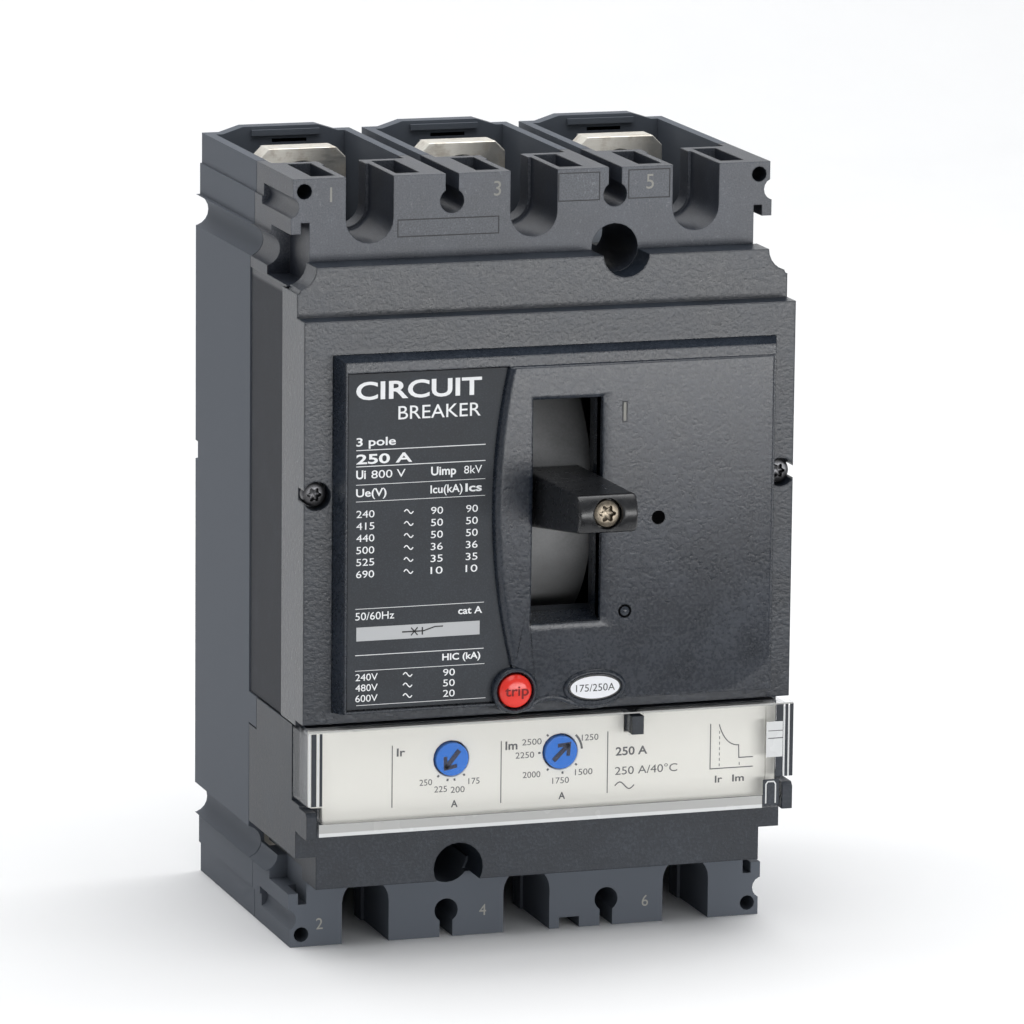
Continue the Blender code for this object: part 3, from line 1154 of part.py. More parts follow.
def trip_unit_face():
    """The light face plate of the trip unit, with a hole for each dial and the seal's notch."""
    y = (-FACE_FRONT, -FACE_FRONT + FACE_THICKNESS)
    face = block((FACE_LEFT, FACE_RIGHT), y, (FACE_BOTTOM, UNIT_TOP))
    past = (-FACE_FRONT - OVER, -FACE_FRONT + FACE_THICKNESS + OVER)
    seal = (SEAL_X[0] - GAP, SEAL_X[1] + GAP)
    corner = (FACE_LEFT - OVER, -HALF + LUG_WIDTH + 2.0)
    cut(
        face,
        *[rod((place, DIAL_Z), DIAL_RADIUS + GAP, past) for place in DIAL_X.values()],
        block(seal, past, (SEAL_Z[0] - GAP, UNIT_TOP + OVER)),
        block(corner, past, (FACE_BOTTOM - OVER, LUG_TOP + GAP)),
    )
    return finish(face, "trip_unit_face", material("face_white", (0.74, 0.73, 0.68), 0.45))


def dial(name):
    """A setting dial: a head with a driver slot, and a flange behind the housing's wall."""
    centre = (DIAL_X[name], DIAL_Z)
    wall = -UNIT_LIP_FRONT + WALL + GAP
    knob = rod(centre, DIAL_RADIUS, (-DIAL_FRONT, wall + 0.5), sides=24)
    join(knob, rod(centre, DIAL_RADIUS + DIAL_FLANGE, (wall, wall + DIAL_FLANGE), sides=24))
    width, length, depth = DIAL_SLOT
    slot = block((-length / 2, length / 2), (-OVER, depth), (-width / 2, width / 2))
    slot.rotation_euler.y = -DIAL_POINTS[name]
    slot.location = Vector((centre[0], -DIAL_FRONT, centre[1])) * MM
    cut(knob, slot)
    surface = material("dial_blue", (0.01, 0.15, 0.58), 0.35)
    return smooth(finish(knob, name, surface, (centre[0], -DIAL_FRONT, centre[1])))


def clear_cover():
    """The hinged window over the trip unit: a front pane, a top edge, two sides and hinge pins."""
    side = HALF - CLEAR_SIDE_INSET
    front = (-CLEAR_FRONT, -CLEAR_FRONT + CLEAR_WALL)
    between = HALF - LUG_WIDTH - GAP
    pane = block((-side, side), front, (CLEAR_SIDE_BOTTOM, CLEAR_TOP))
    parts = [
        block((-between, between), front, (CLEAR_BOTTOM, CLEAR_SIDE_BOTTOM + OVER)),
        block((-side, side), (-CLEAR_FRONT, -FACE_FRONT - GAP), (UNIT_TOP, CLEAR_TOP)),
    ]
    inner = -CLEAR_FRONT + CLEAR_WALL - OVER
    for end in (-1, 1):
        x = (end * (side - CLEAR_WALL), end * side)
        parts.append(block(x, (inner, -CLEAR_BACK), (CLEAR_SIDE_BOTTOM, UNIT_TOP - GAP)))
        ear = (end * (between - EAR_WIDTH), end * between)
        ear_z = (HINGE_Z - EAR_HALF_HEIGHT, HINGE_Z + EAR_HALF_HEIGHT)
        parts.append(block(ear, (inner, -HINGE_DEPTH + EAR_BACK), ear_z))
        pin = (end * (between - HINGE_PIN_INSIDE), end * (between + GAP + HINGE_PIN_OUTSIDE))
        parts.append(rod((-HINGE_DEPTH, HINGE_Z), HINGE_PIN_RADIUS, pin, "X", sides=12))
    join(pane, *parts)
    seal = (SEAL_X[0] - GAP, SEAL_X[1] + GAP)
    cut(pane, block(seal, (-CLEAR_FRONT - OVER, -CLEAR_BACK), (SEAL_Z[0] - GAP, CLEAR_TOP + OVER)))
    surface = material("clear_plastic", (0.95, 0.96, 0.97), 0.08, alpha=0.25)
    return finish(pane, "clear_cover", surface, (0.0, -HINGE_DEPTH, HINGE_Z))


def main():
    clear_scene()
    rear_case()
    middle_case()
    load_terminal_block()
    front_cover()
    face_plate()
    label_plate()
    rating_insert()
    cover_screw(-1, "cover_screw_left")
    cover_screw(1, "cover_screw_right")
    for index, pole in enumerate(POLES):
        line, load = 2 * index + 1, 2 * index + 2
        line_terminal(pole, f"line_terminal_{line}")
        load_terminal(pole, f"load_terminal_{load}")
        terminal_nut(pole, 1, f"terminal_nut_{line}")
        terminal_nut(pole, -1, f"terminal_nut_{load}")
        lower_contact(pole, f"fixed_contact_{index + 1}")
        moving_contact(pole, f"moving_contact_{index + 1}")
        arc_chute(pole, 1, f"arc_chute_line_{index + 1}")
        arc_chute(pole, -1, f"arc_chute_load_{index + 1}")
        bimetal(pole, f"bimetal_{index + 1}")
        magnet_yoke(pole, f"magnet_yoke_{index + 1}")
    contact_shaft()
    toggle_handle()
    toggle_screw()
    dust_shutter()
    toggle_lever()
    toggle_pin()
    mechanism_plate(-1, "mechanism_plate_left")
    mechanism_plate(1, "mechanism_plate_right")
    main_spring(-1, "main_spring_left")
    main_spring(1, "main_spring_right")
    trip_button()
    trip_button_spring()
    trip_bar()
    trip_unit_case()
    trip_unit_face()
    for name in DIAL_X:
        dial(name)
    clear_cover()


main()
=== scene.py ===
"""Three-pole molded case circuit breaker: finished surfaces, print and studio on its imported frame."""

import logging
import math
from dataclasses import dataclass, field
from enum import Enum
from typing import Sequence

import bmesh
import bpy
import numpy as np
from mathutils import Matrix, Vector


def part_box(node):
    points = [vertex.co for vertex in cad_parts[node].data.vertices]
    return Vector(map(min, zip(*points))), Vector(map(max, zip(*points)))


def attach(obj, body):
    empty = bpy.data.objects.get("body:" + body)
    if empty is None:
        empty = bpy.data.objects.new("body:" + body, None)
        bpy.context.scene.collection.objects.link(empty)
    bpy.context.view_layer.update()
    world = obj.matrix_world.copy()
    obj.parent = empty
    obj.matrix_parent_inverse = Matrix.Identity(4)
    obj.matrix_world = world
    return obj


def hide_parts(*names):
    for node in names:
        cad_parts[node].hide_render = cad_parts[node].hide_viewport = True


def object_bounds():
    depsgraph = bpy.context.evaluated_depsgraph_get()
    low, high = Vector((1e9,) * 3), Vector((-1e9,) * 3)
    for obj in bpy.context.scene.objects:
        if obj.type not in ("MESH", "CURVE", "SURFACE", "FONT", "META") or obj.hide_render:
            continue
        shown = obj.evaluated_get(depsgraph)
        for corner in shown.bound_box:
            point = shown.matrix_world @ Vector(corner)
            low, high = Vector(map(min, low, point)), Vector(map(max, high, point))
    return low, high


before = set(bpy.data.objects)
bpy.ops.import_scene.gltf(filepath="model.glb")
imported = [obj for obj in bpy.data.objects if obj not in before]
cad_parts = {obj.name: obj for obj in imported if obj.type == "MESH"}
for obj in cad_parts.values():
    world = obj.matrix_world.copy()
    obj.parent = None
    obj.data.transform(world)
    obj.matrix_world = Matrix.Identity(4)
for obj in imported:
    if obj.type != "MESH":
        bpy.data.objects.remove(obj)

CAD_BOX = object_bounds()
MM = 0.001
LOG = logging.getLogger("breaker")

Array = np.ndarray
Object = bpy.types.Object
Socket = bpy.types.NodeSocket
Pair = tuple[float, float]
Point = tuple[float, float, float]
Colour = tuple[float, float, float]
Box = tuple[float, float, float, float]  # left, right, low and high
Mesh = tuple[Array, list[list[int]]]  # vertices and faces


# ---------------------------------------------------------------- shader tools


class Signal:
    """A number in a shader tree, on which Python's arithmetic adds Math nodes."""

    def __init__(self, tree: "Tree", socket: Socket) -> None:
        """Wrap one output socket of a tree."""
        self.tree = tree
        self.socket = socket

    def _with(self, operation: str, *others: "Signal | float", clamp: bool = False) -> "Signal":
        """Join this number with others in one Math node, with the result kept from 0 to 1 by clamp."""
        return self.tree.maths(operation, self, *others, clamp=clamp)

    def __add__(self, other: "Signal | float") -> "Signal":
        """Sum."""
        return self._with("ADD", other)

    __radd__ = __add__

    def __mul__(self, other: "Signal | float") -> "Signal":
        """Product."""
        return self._with("MULTIPLY", other)

    def __sub__(self, other: "Signal | float") -> "Signal":
        """Difference."""
        return self._with("SUBTRACT", other)

    def __rsub__(self, other: float) -> "Signal":
        """Difference from a plain number."""
        return self.tree.maths("SUBTRACT", other, self)

    def __pow__(self, other: "Signal | float") -> "Signal":
        """Power."""
        return self._with("POWER", other)

    def __abs__(self) -> "Signal":
        """Size without its sign."""
        return self._with("ABSOLUTE")

    def clip(self) -> "Signal":
        """The number kept from 0 to 1."""
        return self._with("ADD", 0.0, clamp=True)

    def step(self, low: float, high: float) -> "Signal":
        """A soft step, 0 below low and 1 above high; it falls where low is above high."""
        made = self.tree.node(
            "ShaderNodeMapRange",
            {"interpolation_type": "SMOOTHSTEP"},
            {0: self, 1: low, 2: high, 3: 0.0, 4: 1.0},
        )
        return Signal(self.tree, made.outputs[0])


class Tree:
    """The node tree of one material, filled from left to right."""

    def __init__(self, name: str) -> None:
        """Start an empty material.

        Args:
            name: The material's name.
        """
        self.material = bpy.data.materials.new(name)
        self.material.use_nodes = True
        self.nodes = self.material.node_tree.nodes
        self.links = self.material.node_tree.links
        self.nodes.clear()
        self.place = self.node("ShaderNodeTexCoord").outputs["Object"]

    def node(
        self,
        kind: str,
        settings: dict[str, object] | None = None,
        sockets: dict[int | str, object] | None = None,
    ) -> bpy.types.Node:
        """Add one node.

        Args:
            kind: The node's type.
            settings: Its properties.
            sockets: Values or links, by the name or index of the input.

        Returns:
            The node.
        """
        made = self.nodes.new(kind)
        for key, value in (settings or {}).items():
            setattr(made, key, value)
        for key, value in (sockets or {}).items():
            self.feed(made.inputs[key], value)
        return made

    def feed(self, target: Socket, value: object) -> None:
        """Link a socket or number to an input, or set it.

        Args:
            target: The input.
            value: A Signal, an output socket, a number or a colour.
        """
        if isinstance(value, Signal):
            value = value.socket
        if isinstance(value, Socket):
            self.links.new(value, target)
        elif isinstance(value, tuple) and len(value) == 3 and len(target.default_value) == 4:
            target.default_value = (*value, 1.0)
        else:
            target.default_value = value

    def maths(self, operation: str, *values: "Signal | float", clamp: bool = False) -> Signal:
        """One Math node on up to three numbers."""
        settings = {"operation": operation, "use_clamp": clamp}
        return Signal(self, self.node("ShaderNodeMath", settings, dict(enumerate(values))).outputs[0])

    def stretched(self, scale: Sequence[float]) -> Socket:
        """Object coordinates multiplied by one number for each axis."""
        sockets = {"Vector": self.place, "Scale": tuple(scale)}
        return self.node("ShaderNodeMapping", {"vector_type": "POINT"}, sockets).outputs[0]

    def noise(
        self, size: float, detail: float = 3.0, stretch: Sequence[float] | None = None, rough: float = 0.5
    ) -> Signal:
        """Cloudy noise.

        Args:
            size: Size of its largest blobs in millimetres.
            detail: Number of finer layers.
            stretch: One factor for each axis; a small one draws the blobs out.
            rough: Weight of the finer layers.

        Returns:
            The noise, about 0.5 on average.
        """
        vector = self.stretched(stretch) if stretch else self.place
        made = self.node(
            "ShaderNodeTexNoise",
            {"noise_dimensions": "3D"},
            {"Vector": vector, "Scale": 1.0 / (size * MM), "Detail": detail, "Roughness": rough},
        )
        return Signal(self, made.outputs[0])

    def cells(self, size: float) -> Signal:
        """Distance from the nearest of many scattered points, in parts of a cell of that size in mm."""
        sockets = {"Vector": self.place, "Scale": 1.0 / (size * MM)}
        return Signal(self, self.node("ShaderNodeTexVoronoi", {"feature": "F1"}, sockets).outputs["Distance"])

    def axis(self, letter: str) -> Signal:
        """One Object coordinate in millimetres."""
        split = self.node("ShaderNodeSeparateXYZ", None, {0: self.place})
        return Signal(self, split.outputs[letter]) * (1.0 / MM)

    def facing(self, letter: str) -> Signal:
        """One part of the surface's normal in the object's own axes."""
        normal = self.node("ShaderNodeNewGeometry").outputs["Normal"]
        return Signal(self, self.node("ShaderNodeSeparateXYZ", None, {0: normal}).outputs[letter])

    def blend(self, share: "Signal | float", first: object, second: object) -> Socket:
        """The first colour where share is 0 and the second where it is 1."""
        made = self.node("ShaderNodeMix", {"data_type": "RGBA"}, {0: share, 6: first, 7: second})
        return made.outputs[2]

    def bump(self, height: Signal, distance: float, edge: float = 0.0) -> Socket:
        """A normal from a height.

        Args:
            height: Height from 0 to 1.
            distance: Height in millimetres where it is 1.
            edge: Radius in millimetres to which sharp edges look rounded.

        Returns:
            The normal's socket.
        """
        sockets: dict[int | str, object] = {"Height": height, "Distance": distance * MM}
        if edge:
            sockets["Normal"] = self.node("ShaderNodeBevel", {"samples": 4}, {"Radius": edge * MM}).outputs[0]
        return self.node("ShaderNodeBump", None, sockets).outputs[0]

    def finish(self, sockets: dict[str, object]) -> bpy.types.Material:
        """Add the surface shader and the output.

        Args:
            sockets: The shader's inputs by name.

        Returns:
            The finished material.
        """
        surface = self.node("ShaderNodeBsdfPrincipled", None, sockets)
        self.node("ShaderNodeOutputMaterial", None, {"Surface": surface.outputs[0]})
        return self.material


# -------------------------------------------------------------------- finishes


def scaled(colour: Colour, factor: float) -> Colour:
    """A colour made darker or lighter, with no part above 1."""
    return tuple(min(1.0, factor * part) for part in colour)


@dataclass(frozen=True)
class Moulded:
    """Glass-filled plastic from a textured mould."""

    name: str
    colour: Colour
    pale: Colour = (0.15, 0.163, 0.188)
    grain: float = 0.34  # size of the mould's texture
    relief: float = 0.035
    mottle: float = 0.2
    fibres: float = 0.0  # share of pale fibre flecks at the terminal ends
    painted_front_light: float = 0.0  # share of painted light on the faces of the terminal ends that look to the front
    roughness: float = 0.5
    edge: float = 0.0  # radius that sharp edges seem to have
    sheen: float = 0.5  # strength of its reflections
    strip: Colour | None = None  # tone of the recessed strip along both sides
    strip_from: Pair = (50.4, 50.8)  # distance from the middle plane where the strip fades in
    strip_to: Pair = (57.0, 56.0)  # height where the strip fades out
    ends_from: Pair = (60.0, 63.0)  # height where the terminal ends fade in

    def make(self) -> bpy.types.Material:
        """Build the material: fine grain, slow mottling, pale flecks with long scuffs at the ends, and painted
        light on the ends' front faces.

        Returns:
            The material.
        """
        tree = Tree(self.name)
        grain = tree.noise(self.grain, 4.0, rough=0.62)
        slow = tree.noise(9.0, 3.0)
        ends = abs(tree.axis("Z")).step(*self.ends_from)
        fleck = tree.noise(0.6, 5.0, (1.0, 1.0, 0.6), 0.8).step(0.54, 0.78) * ends * self.fibres
        scuff = tree.noise(0.5, 2.0, (0.06, 1.0, 1.0)).step(0.62, 0.7) * tree.noise(14.0, 1.0).step(0.45, 0.6)
        # Painted light: faces of the terminal ends that look to the front are made paler, standing in for the
        # light they catch.
        painted_front_light = (0.0 - tree.facing("Y")).step(0.7, 0.9) * ends * (0.1 + grain * 0.5) * self.painted_front_light
        # Real flecks and scuffs at the ends, plus the painted light on their front faces.
        worn = fleck + scuff * ends * 0.18 * self.fibres + painted_front_light
        share = ((grain - 0.5) * 0.5 + (slow - 0.5) * self.mottle + worn).clip()
        uneven = (0.5 + (slow - 0.5) * 1.6 + (grain - 0.5) * 0.9).clip()
        tone = tree.blend(uneven, scaled(self.colour, 0.72), scaled(self.colour, 1.22))
        rough = self.roughness
        if self.strip:
            side = abs(tree.axis("X")).step(*self.strip_from) * abs(tree.axis("Z")).step(*self.strip_to)
            tone = tree.blend(side, tone, self.strip)
            rough = side * 0.3 + self.roughness
        return tree.finish(
            {
                "Base Color": tree.blend(share, tone, self.pale),
                "Roughness": (rough + (grain - 0.5) * 0.2 + (slow - 0.5) * 0.07).clip(),
                "Normal": tree.bump(grain, self.relief, self.edge),
                "IOR": 1.5,
                "Specular IOR Level": self.sheen,
            }
        )


@dataclass(frozen=True)
class Glossy:
    """Smooth gloss moulding with faint handling marks."""

    name: str
    colour: Colour
    roughness: float = 0.22
    ripple: float = 0.01
    coat: float = 0.0

    def make(self) -> bpy.types.Material:
        """Build the material: an even colour with slow waves and finely smeared gloss.

        Returns:
            The material.
        """
        tree = Tree(self.name)
        slow = tree.noise(5.0, 3.0)
        fine = tree.noise(0.5, 4.0, rough=0.6)
        smear = tree.noise(1.6, 3.0)
        tone = tree.blend(slow, scaled(self.colour, 0.86), scaled(self.colour, 1.14))
        return tree.finish(
            {
                "Base Color": tone,
                "Roughness": (self.roughness + (smear - 0.5) * 0.22 + (fine - 0.5) * 0.08).clip(),
                "Coat Weight": self.coat,
                "Normal": tree.bump(slow * 0.8 + fine * 0.2, self.ripple),
            }
        )


@dataclass(frozen=True)
class Metal:
    """Rolled, plated or cut metal with scuffs and stains."""

    name: str
    colour: Colour
    stain: Colour
    roughness: float = 0.32
    scratch: float = 0.01
    stained: float = 0.35
    drawn: Point = (1.0, 1.0, 0.12)

    def make(self) -> bpy.types.Material:
        """Build the material: drawn-out lines, cloudy stains and a roughness that follows both.

        Returns:
            The material.
        """
        tree = Tree(self.name)
        lines = tree.noise(0.35, 4.0, self.drawn, 0.6)
        cloud = tree.noise(3.4, 4.0, rough=0.62)
        spots = tree.cells(2.2).step(0.25, 0.05)
        marks = cloud.step(0.46, 0.7) * self.stained + spots * 0.2 * self.stained
        share = (marks + (lines - 0.5) * 0.35).clip()
        return tree.finish(
            {
                "Base Color": tree.blend(share, self.colour, self.stain),
                "Metallic": (1.0 - share * 0.35).clip(),
                "Roughness": (self.roughness + (cloud - 0.5) * 0.3 + (lines - 0.5) * 0.35).clip(),
                "Normal": tree.bump(lines * 0.7 + cloud * 0.3, self.scratch),
            }
        )


@dataclass(frozen=True)
class Printed:
    """Ink or foil laid on a moulding, and thin sheets of painted shade and painted highlights."""

    name: str
    colour: Colour
    worn: Colour
    roughness: float = 0.5
    sheen: float = 0.5

    def make(self) -> bpy.types.Material:
        """Build the material: a flat colour broken by fine wear.

        Returns:
            The material.
        """
        tree = Tree(self.name)
        wear = tree.noise(0.22, 4.0, rough=0.7).step(0.56, 0.78) * 0.5
        slow = tree.noise(6.0, 2.0)
        return tree.finish(
            {
                "Base Color": tree.blend((wear + (slow - 0.5) * 0.2).clip(), self.colour, self.worn),
                "Roughness": (self.roughness + (slow - 0.5) * 0.2).clip(),
                "Normal": tree.bump(wear, 0.004),
                "Specular IOR Level": self.sheen,
            }
        )


@dataclass(frozen=True)
class ClearPane:
    """Clear moulding, faint on its faces, with a painted reflection that turns it white along its edges."""

    name: str
    colour: Colour = (0.93, 0.94, 0.95)
    faint: float = 0.012
    # strength of the painted reflection: white cover at grazing angles and along the rims
    edge: float = 0.7

    def make(self) -> bpy.types.Material:
        """Build the material: its white cover, a painted reflection, grows towards grazing angles and along the
        rims.

        Returns:
            The material.
        """
        tree = Tree(self.name)
        rim = Signal(tree, tree.node("ShaderNodeLayerWeight", None, {"Blend": 0.32}).outputs["Facing"])
        haze = tree.noise(6.0, 3.0)
        return tree.finish(
            {
                "Base Color": self.colour,
                "Roughness": (0.06 + haze * 0.08).clip(),
                "Alpha": (self.faint + (haze - 0.5) * 0.02 + (rim**2.8) * self.edge).clip(),
                "Normal": tree.bump(haze, 0.03),
            }
        )


class Finish(Enum):
    """Every finish on the breaker."""

    CASE = Moulded(
        "case_plastic", (0.0125, 0.0150, 0.0240), fibres=0.35, mottle=0.25, roughness=0.7, edge=0.3, sheen=0.2
    )
    MIDDLE = Moulded(
        "middle_plastic",
        (0.018, 0.0220, 0.032),
        fibres=0.7,
        mottle=0.34,
        painted_front_light=1.0,
        roughness=0.4,
        edge=0.3,
        sheen=0.45,
        strip=(0.0105, 0.0128, 0.0195),
    )
    COVER = Moulded("cover_plastic", (0.0125, 0.0172, 0.0255), grain=0.8, relief=0.07, roughness=0.31, edge=0.5)
    PLATE = Moulded(
        "plate_plastic", (0.0125, 0.0172, 0.026), grain=0.7, relief=0.05, mottle=0.12, roughness=0.28, edge=0.4
    )
    UNIT = Moulded(
        "unit_plastic", (0.0125, 0.0172, 0.0255), grain=0.6, relief=0.06, roughness=0.46, edge=0.3, sheen=0.4
    )
    LABEL = Moulded(
        "label_sheet", (0.017, 0.0215, 0.028), grain=0.3, relief=0.02, mottle=0.08, roughness=0.5, sheen=0.35
    )
    FACE = Moulded(
        "face_white", (0.205, 0.205, 0.20), pale=(0.24, 0.24, 0.23), grain=0.3, relief=0.01, roughness=0.42
    )
    TOGGLE = Glossy("toggle_black", (0.009, 0.0095, 0.011), 0.3, 0.006)
    SHUTTER = Moulded("shutter_grey", (0.24, 0.242, 0.245), grain=0.5, relief=0.02, mottle=0.6, roughness=0.38)
    BUTTON = Glossy("button_red", (0.45, 0.007, 0.005), 0.2, coat=0.2)
    DEEP_RED = Glossy("word_red", (0.16, 0.004, 0.004), 0.25)
    DIAL = Glossy("dial_blue", (0.001, 0.034, 0.125), 0.4)
    ARROW = Glossy("arrow_navy", (0.002, 0.010, 0.045), 0.3)
    INSERT = Glossy("insert_white", (0.72, 0.72, 0.78), 0.25)
    BAR = Metal("tinned_bar", (0.78, 0.75, 0.68), (0.42, 0.35, 0.27), 0.46, 0.03, 0.5, (0.12, 1.0, 1.0))
    STEEL = Metal("zinc_steel", (0.58, 0.58, 0.56), (0.32, 0.30, 0.27), 0.3)
    BRONZE = Metal("bronze_screw", (0.21, 0.18, 0.14), (0.10, 0.09, 0.08), 0.34)
    DARK_SCREW = Metal("blackened_screw", (0.10, 0.10, 0.105), (0.04, 0.035, 0.03), 0.36)
    SPRING = Metal("spring_wire", (0.42, 0.42, 0.43), (0.2, 0.19, 0.18), 0.26)
    COPPER = Metal("bare_copper", (0.78, 0.38, 0.22), (0.35, 0.16, 0.10), 0.33)
    CHUTE = Metal("chute_steel", (0.33, 0.31, 0.29), (0.16, 0.13, 0.10), 0.5)
    BIMETAL = Metal("bimetal_strip", (0.55, 0.47, 0.37), (0.3, 0.24, 0.17), 0.33)
    IRON = Metal("soft_iron", (0.44, 0.44, 0.45), (0.22, 0.2, 0.18), 0.42)
    SHAFT = Moulded("shaft_resin", (0.13, 0.075, 0.045), pale=(0.3, 0.2, 0.14))
    TRIP_BAR = Moulded("trip_bar_resin", (0.5, 0.47, 0.4), pale=(0.6, 0.57, 0.5))
    PANE = ClearPane("clear_pane")
    WHITE_INK = Printed("white_ink", (0.80, 0.81, 0.82), (0.45, 0.46, 0.48))
    BEIGE_INK = Printed("beige_ink", (0.27, 0.265, 0.24), (0.08, 0.08, 0.085), 0.6)
    GREY_INK = Printed("grey_ink", (0.085, 0.085, 0.09), (0.2, 0.2, 0.2))
    BLACK_INK = Printed("black_ink", (0.012, 0.012, 0.013), (0.05, 0.05, 0.05))
    # Painted shade of narrow grooves, drawn as thin dark lines.
    GROOVE_INK = Printed("groove_shade", (0.022, 0.023, 0.027), (0.05, 0.052, 0.058), 0.6)
    # Painted shade: dark sheets standing for the inside of holes and slots and the ring round the dimple.
    HOLE = Printed("hole_painted_shade", (0.001, 0.001, 0.0012), (0.003, 0.003, 0.003), 0.9, 0.02)
    # Painted highlight, laid as thin sheets along the clear cover's edges.
    RIM_LIGHT = Printed("rim_painted_highlight", (0.62, 0.63, 0.63), (0.5, 0.51, 0.52), 0.25)
    # Painted shade of the sloped clear lip, seen over the white face.
    LIP = Printed("lip_painted_shade", (0.40, 0.40, 0.39), (0.34, 0.34, 0.33), 0.25)
    STRIP = Printed("light_strip", (0.42, 0.43, 0.44), (0.32, 0.33, 0.34), 0.4)

    def material(self) -> bpy.types.Material:
        """The finish's material, built once."""
        return bpy.data.materials.get(self.value.name) or self.value.make()


# --------------------------------------------------------------- shape tools


def around(count: int) -> Array:
    """That many angles, evenly spaced round a full turn."""
    return np.linspace(0.0, 2.0 * np.pi, count, endpoint=False)


def ellipse(centre: Pair, radii: Pair, count: int) -> Array:
    """Points centre + (radii x cos a, radii z sin a) for evenly spaced angles a, shaped (count, 2)."""
    angle = around(count)
    return np.stack([centre[0] + radii[0] * np.cos(angle), centre[1] + radii[1] * np.sin(angle)], 1)


def box_of(node: str) -> tuple[Array, Array]:
    """The low and the high corner of a CAD node, in millimetres."""
    low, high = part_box(node)
    return np.array(low) / MM, np.array(high) / MM


def new_mesh(name: str, points: Array, faces: list[list[int]]) -> bpy.types.Mesh:
    """Make a mesh.

    Args:
        name: Its name.
        points: Its vertices in metres, shaped (count, 3).
        faces: Its faces.

    Returns:
        The mesh.
    """
    mesh = bpy.data.meshes.new(name)
    mesh.from_pydata(points.tolist(), [], faces)
    return mesh


def new_object(name: str, data: bpy.types.ID) -> Object:
    """Make an object and link it to the scene.

    Args:
        name: Its name.
        data: The mesh, light, camera or text that it carries.

    Returns:
        The object.
    """
    made = bpy.data.objects.new(name, data)
    bpy.context.scene.collection.objects.link(made)
    return made


def pose(axes: Sequence[Sequence[float]], origin: Sequence[float]) -> Matrix:
    """The matrix of an object.

    Args:
        axes: Directions of its own x, y and z.
        origin: Its place in metres.

    Returns:
        The matrix.
    """
    matrix = np.eye(4)
    matrix[:3, :3] = np.stack(axes, 1)
    matrix[:3, 3] = origin
    return Matrix(matrix.tolist())


def loft(stack: Array, closed: bool = False) -> Mesh:
    """Join rings into one closed shell.

    Ring i, point j is vertex i * n + j; each quad joins (i, j), (i, j + 1), (i + 1, j + 1), (i + 1, j),
    with j counted round the ring. Open stacks get a flat cap at both ends.

    Args:
        stack: Points, shaped (rings, points, 3).
        closed: Whether the last ring joins the first.

    Returns:
        The vertices and the faces.
    """
    rings, count, _ = stack.shape
    index = np.arange(rings * count).reshape(rings, count)
    ahead = np.roll(index, -1, axis=0) if closed else index[1:]
    here = index if closed else index[:-1]
    quads = np.stack([here, np.roll(here, -1, axis=1), np.roll(ahead, -1, axis=1), ahead], axis=-1)
    faces = quads.reshape(-1, 4).tolist()
    if not closed:
        faces += [index[0][::-1].tolist(), index[-1].tolist()]
    return stack.reshape(-1, 3), faces


def moved(line: Array, distance: "float | Array", closed: bool = True) -> Array:
    """A line in a plane moved sideways along its mitred normal, to its left as it runs.

    Args:
        line: Points, shaped (count, 2).
        distance: How far, for the whole line or for each point.
        closed: Whether it joins its own start.

    Returns:
        The moved points.
    """
    if closed:
        before, after = line - np.roll(line, 1, 0), np.roll(line, -1, 0) - line
    else:
        steps = np.diff(line, axis=0)
        before, after = np.vstack([steps[:1], steps]), np.vstack([steps, steps[-1:]])
    before = before / np.linalg.norm(before, axis=1, keepdims=True)
    after = after / np.linalg.norm(after, axis=1, keepdims=True)
    mid = before + after
    mid = mid / np.linalg.norm(mid, axis=1, keepdims=True)
    spread = distance / np.clip((mid * after).sum(1), 0.4, 1.0)
    return line + np.stack([-mid[:, 1], mid[:, 0]], 1) * spread[:, None]


class Shell:
    """One or more closed shells, in millimetres, gathered into a single piece."""

    def __init__(self, name: str) -> None:
        """Start an empty piece.

        Args:
            name: Its name.
        """
        self.name = name
        self.points: list[Array] = []
        self.faces: list[list[int]] = []
        self.count = 0

    def add(self, points: Array, faces: list[list[int]]) -> "Shell":
        """Add one shell.

        Args:
            points: Its vertices.
            faces: Its faces, as indices from 0.

        Returns:
            This piece.
        """
        self.faces += [[number + self.count for number in face] for face in faces]
        self.points.append(points)
        self.count += len(points)
        return self

    def build(
        self, finish: Finish, body: str, *stands_for: str, slot: str = "", soft: float = 30.0
    ) -> Object:
        """Make the object, point its faces outwards, dress it and put it on its body.

        Args:
            finish: Its finish.
            body: The body that it rides on.
            stands_for: CAD nodes that it replaces.
            slot: The record's material slot.
            soft: Edges flatter than this angle in degrees are shaded smooth.

        Returns:
            The object.
        """
        mesh = new_mesh(self.name, np.concatenate(self.points) * MM, self.faces)
        work = bmesh.new()
        work.from_mesh(mesh)
        bmesh.ops.recalc_face_normals(work, faces=work.faces)
        work.to_mesh(mesh)
        work.free()
        mesh.shade_smooth()
        mesh.set_sharp_from_angle(angle=math.radians(soft))
        return settle(new_object(self.name, mesh), finish, body, *stands_for, slot=slot)


def settle(made: Object, finish: Finish, body: str, *stands_for: str, slot: str = "") -> Object:
    """Dress an object and tie it to its body.

    Args:
        made: The object.
        finish: Its finish.
        body: The body that it rides on.
        stands_for: CAD nodes that it replaces.
        slot: Not used.

    Returns:
        The same object.
    """
    made.data.materials.clear()
    made.data.materials.append(finish.material())
    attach(made, body)
    if stands_for:
        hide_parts(*stands_for)
    LOG.info("piece %s: %d faces on %s", made.name, len(made.data.polygons), body)
    return made


def dress(node: str, finish: Finish) -> None:
    """Give a CAD node a finish in each of its material slots.

    Args:
        node: The node's name.
        finish: Its finish.
    """
    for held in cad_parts[node].material_slots:
        held.link = "OBJECT"
        held.material = finish.material()
    LOG.info("node %s: %s", node, finish.name)


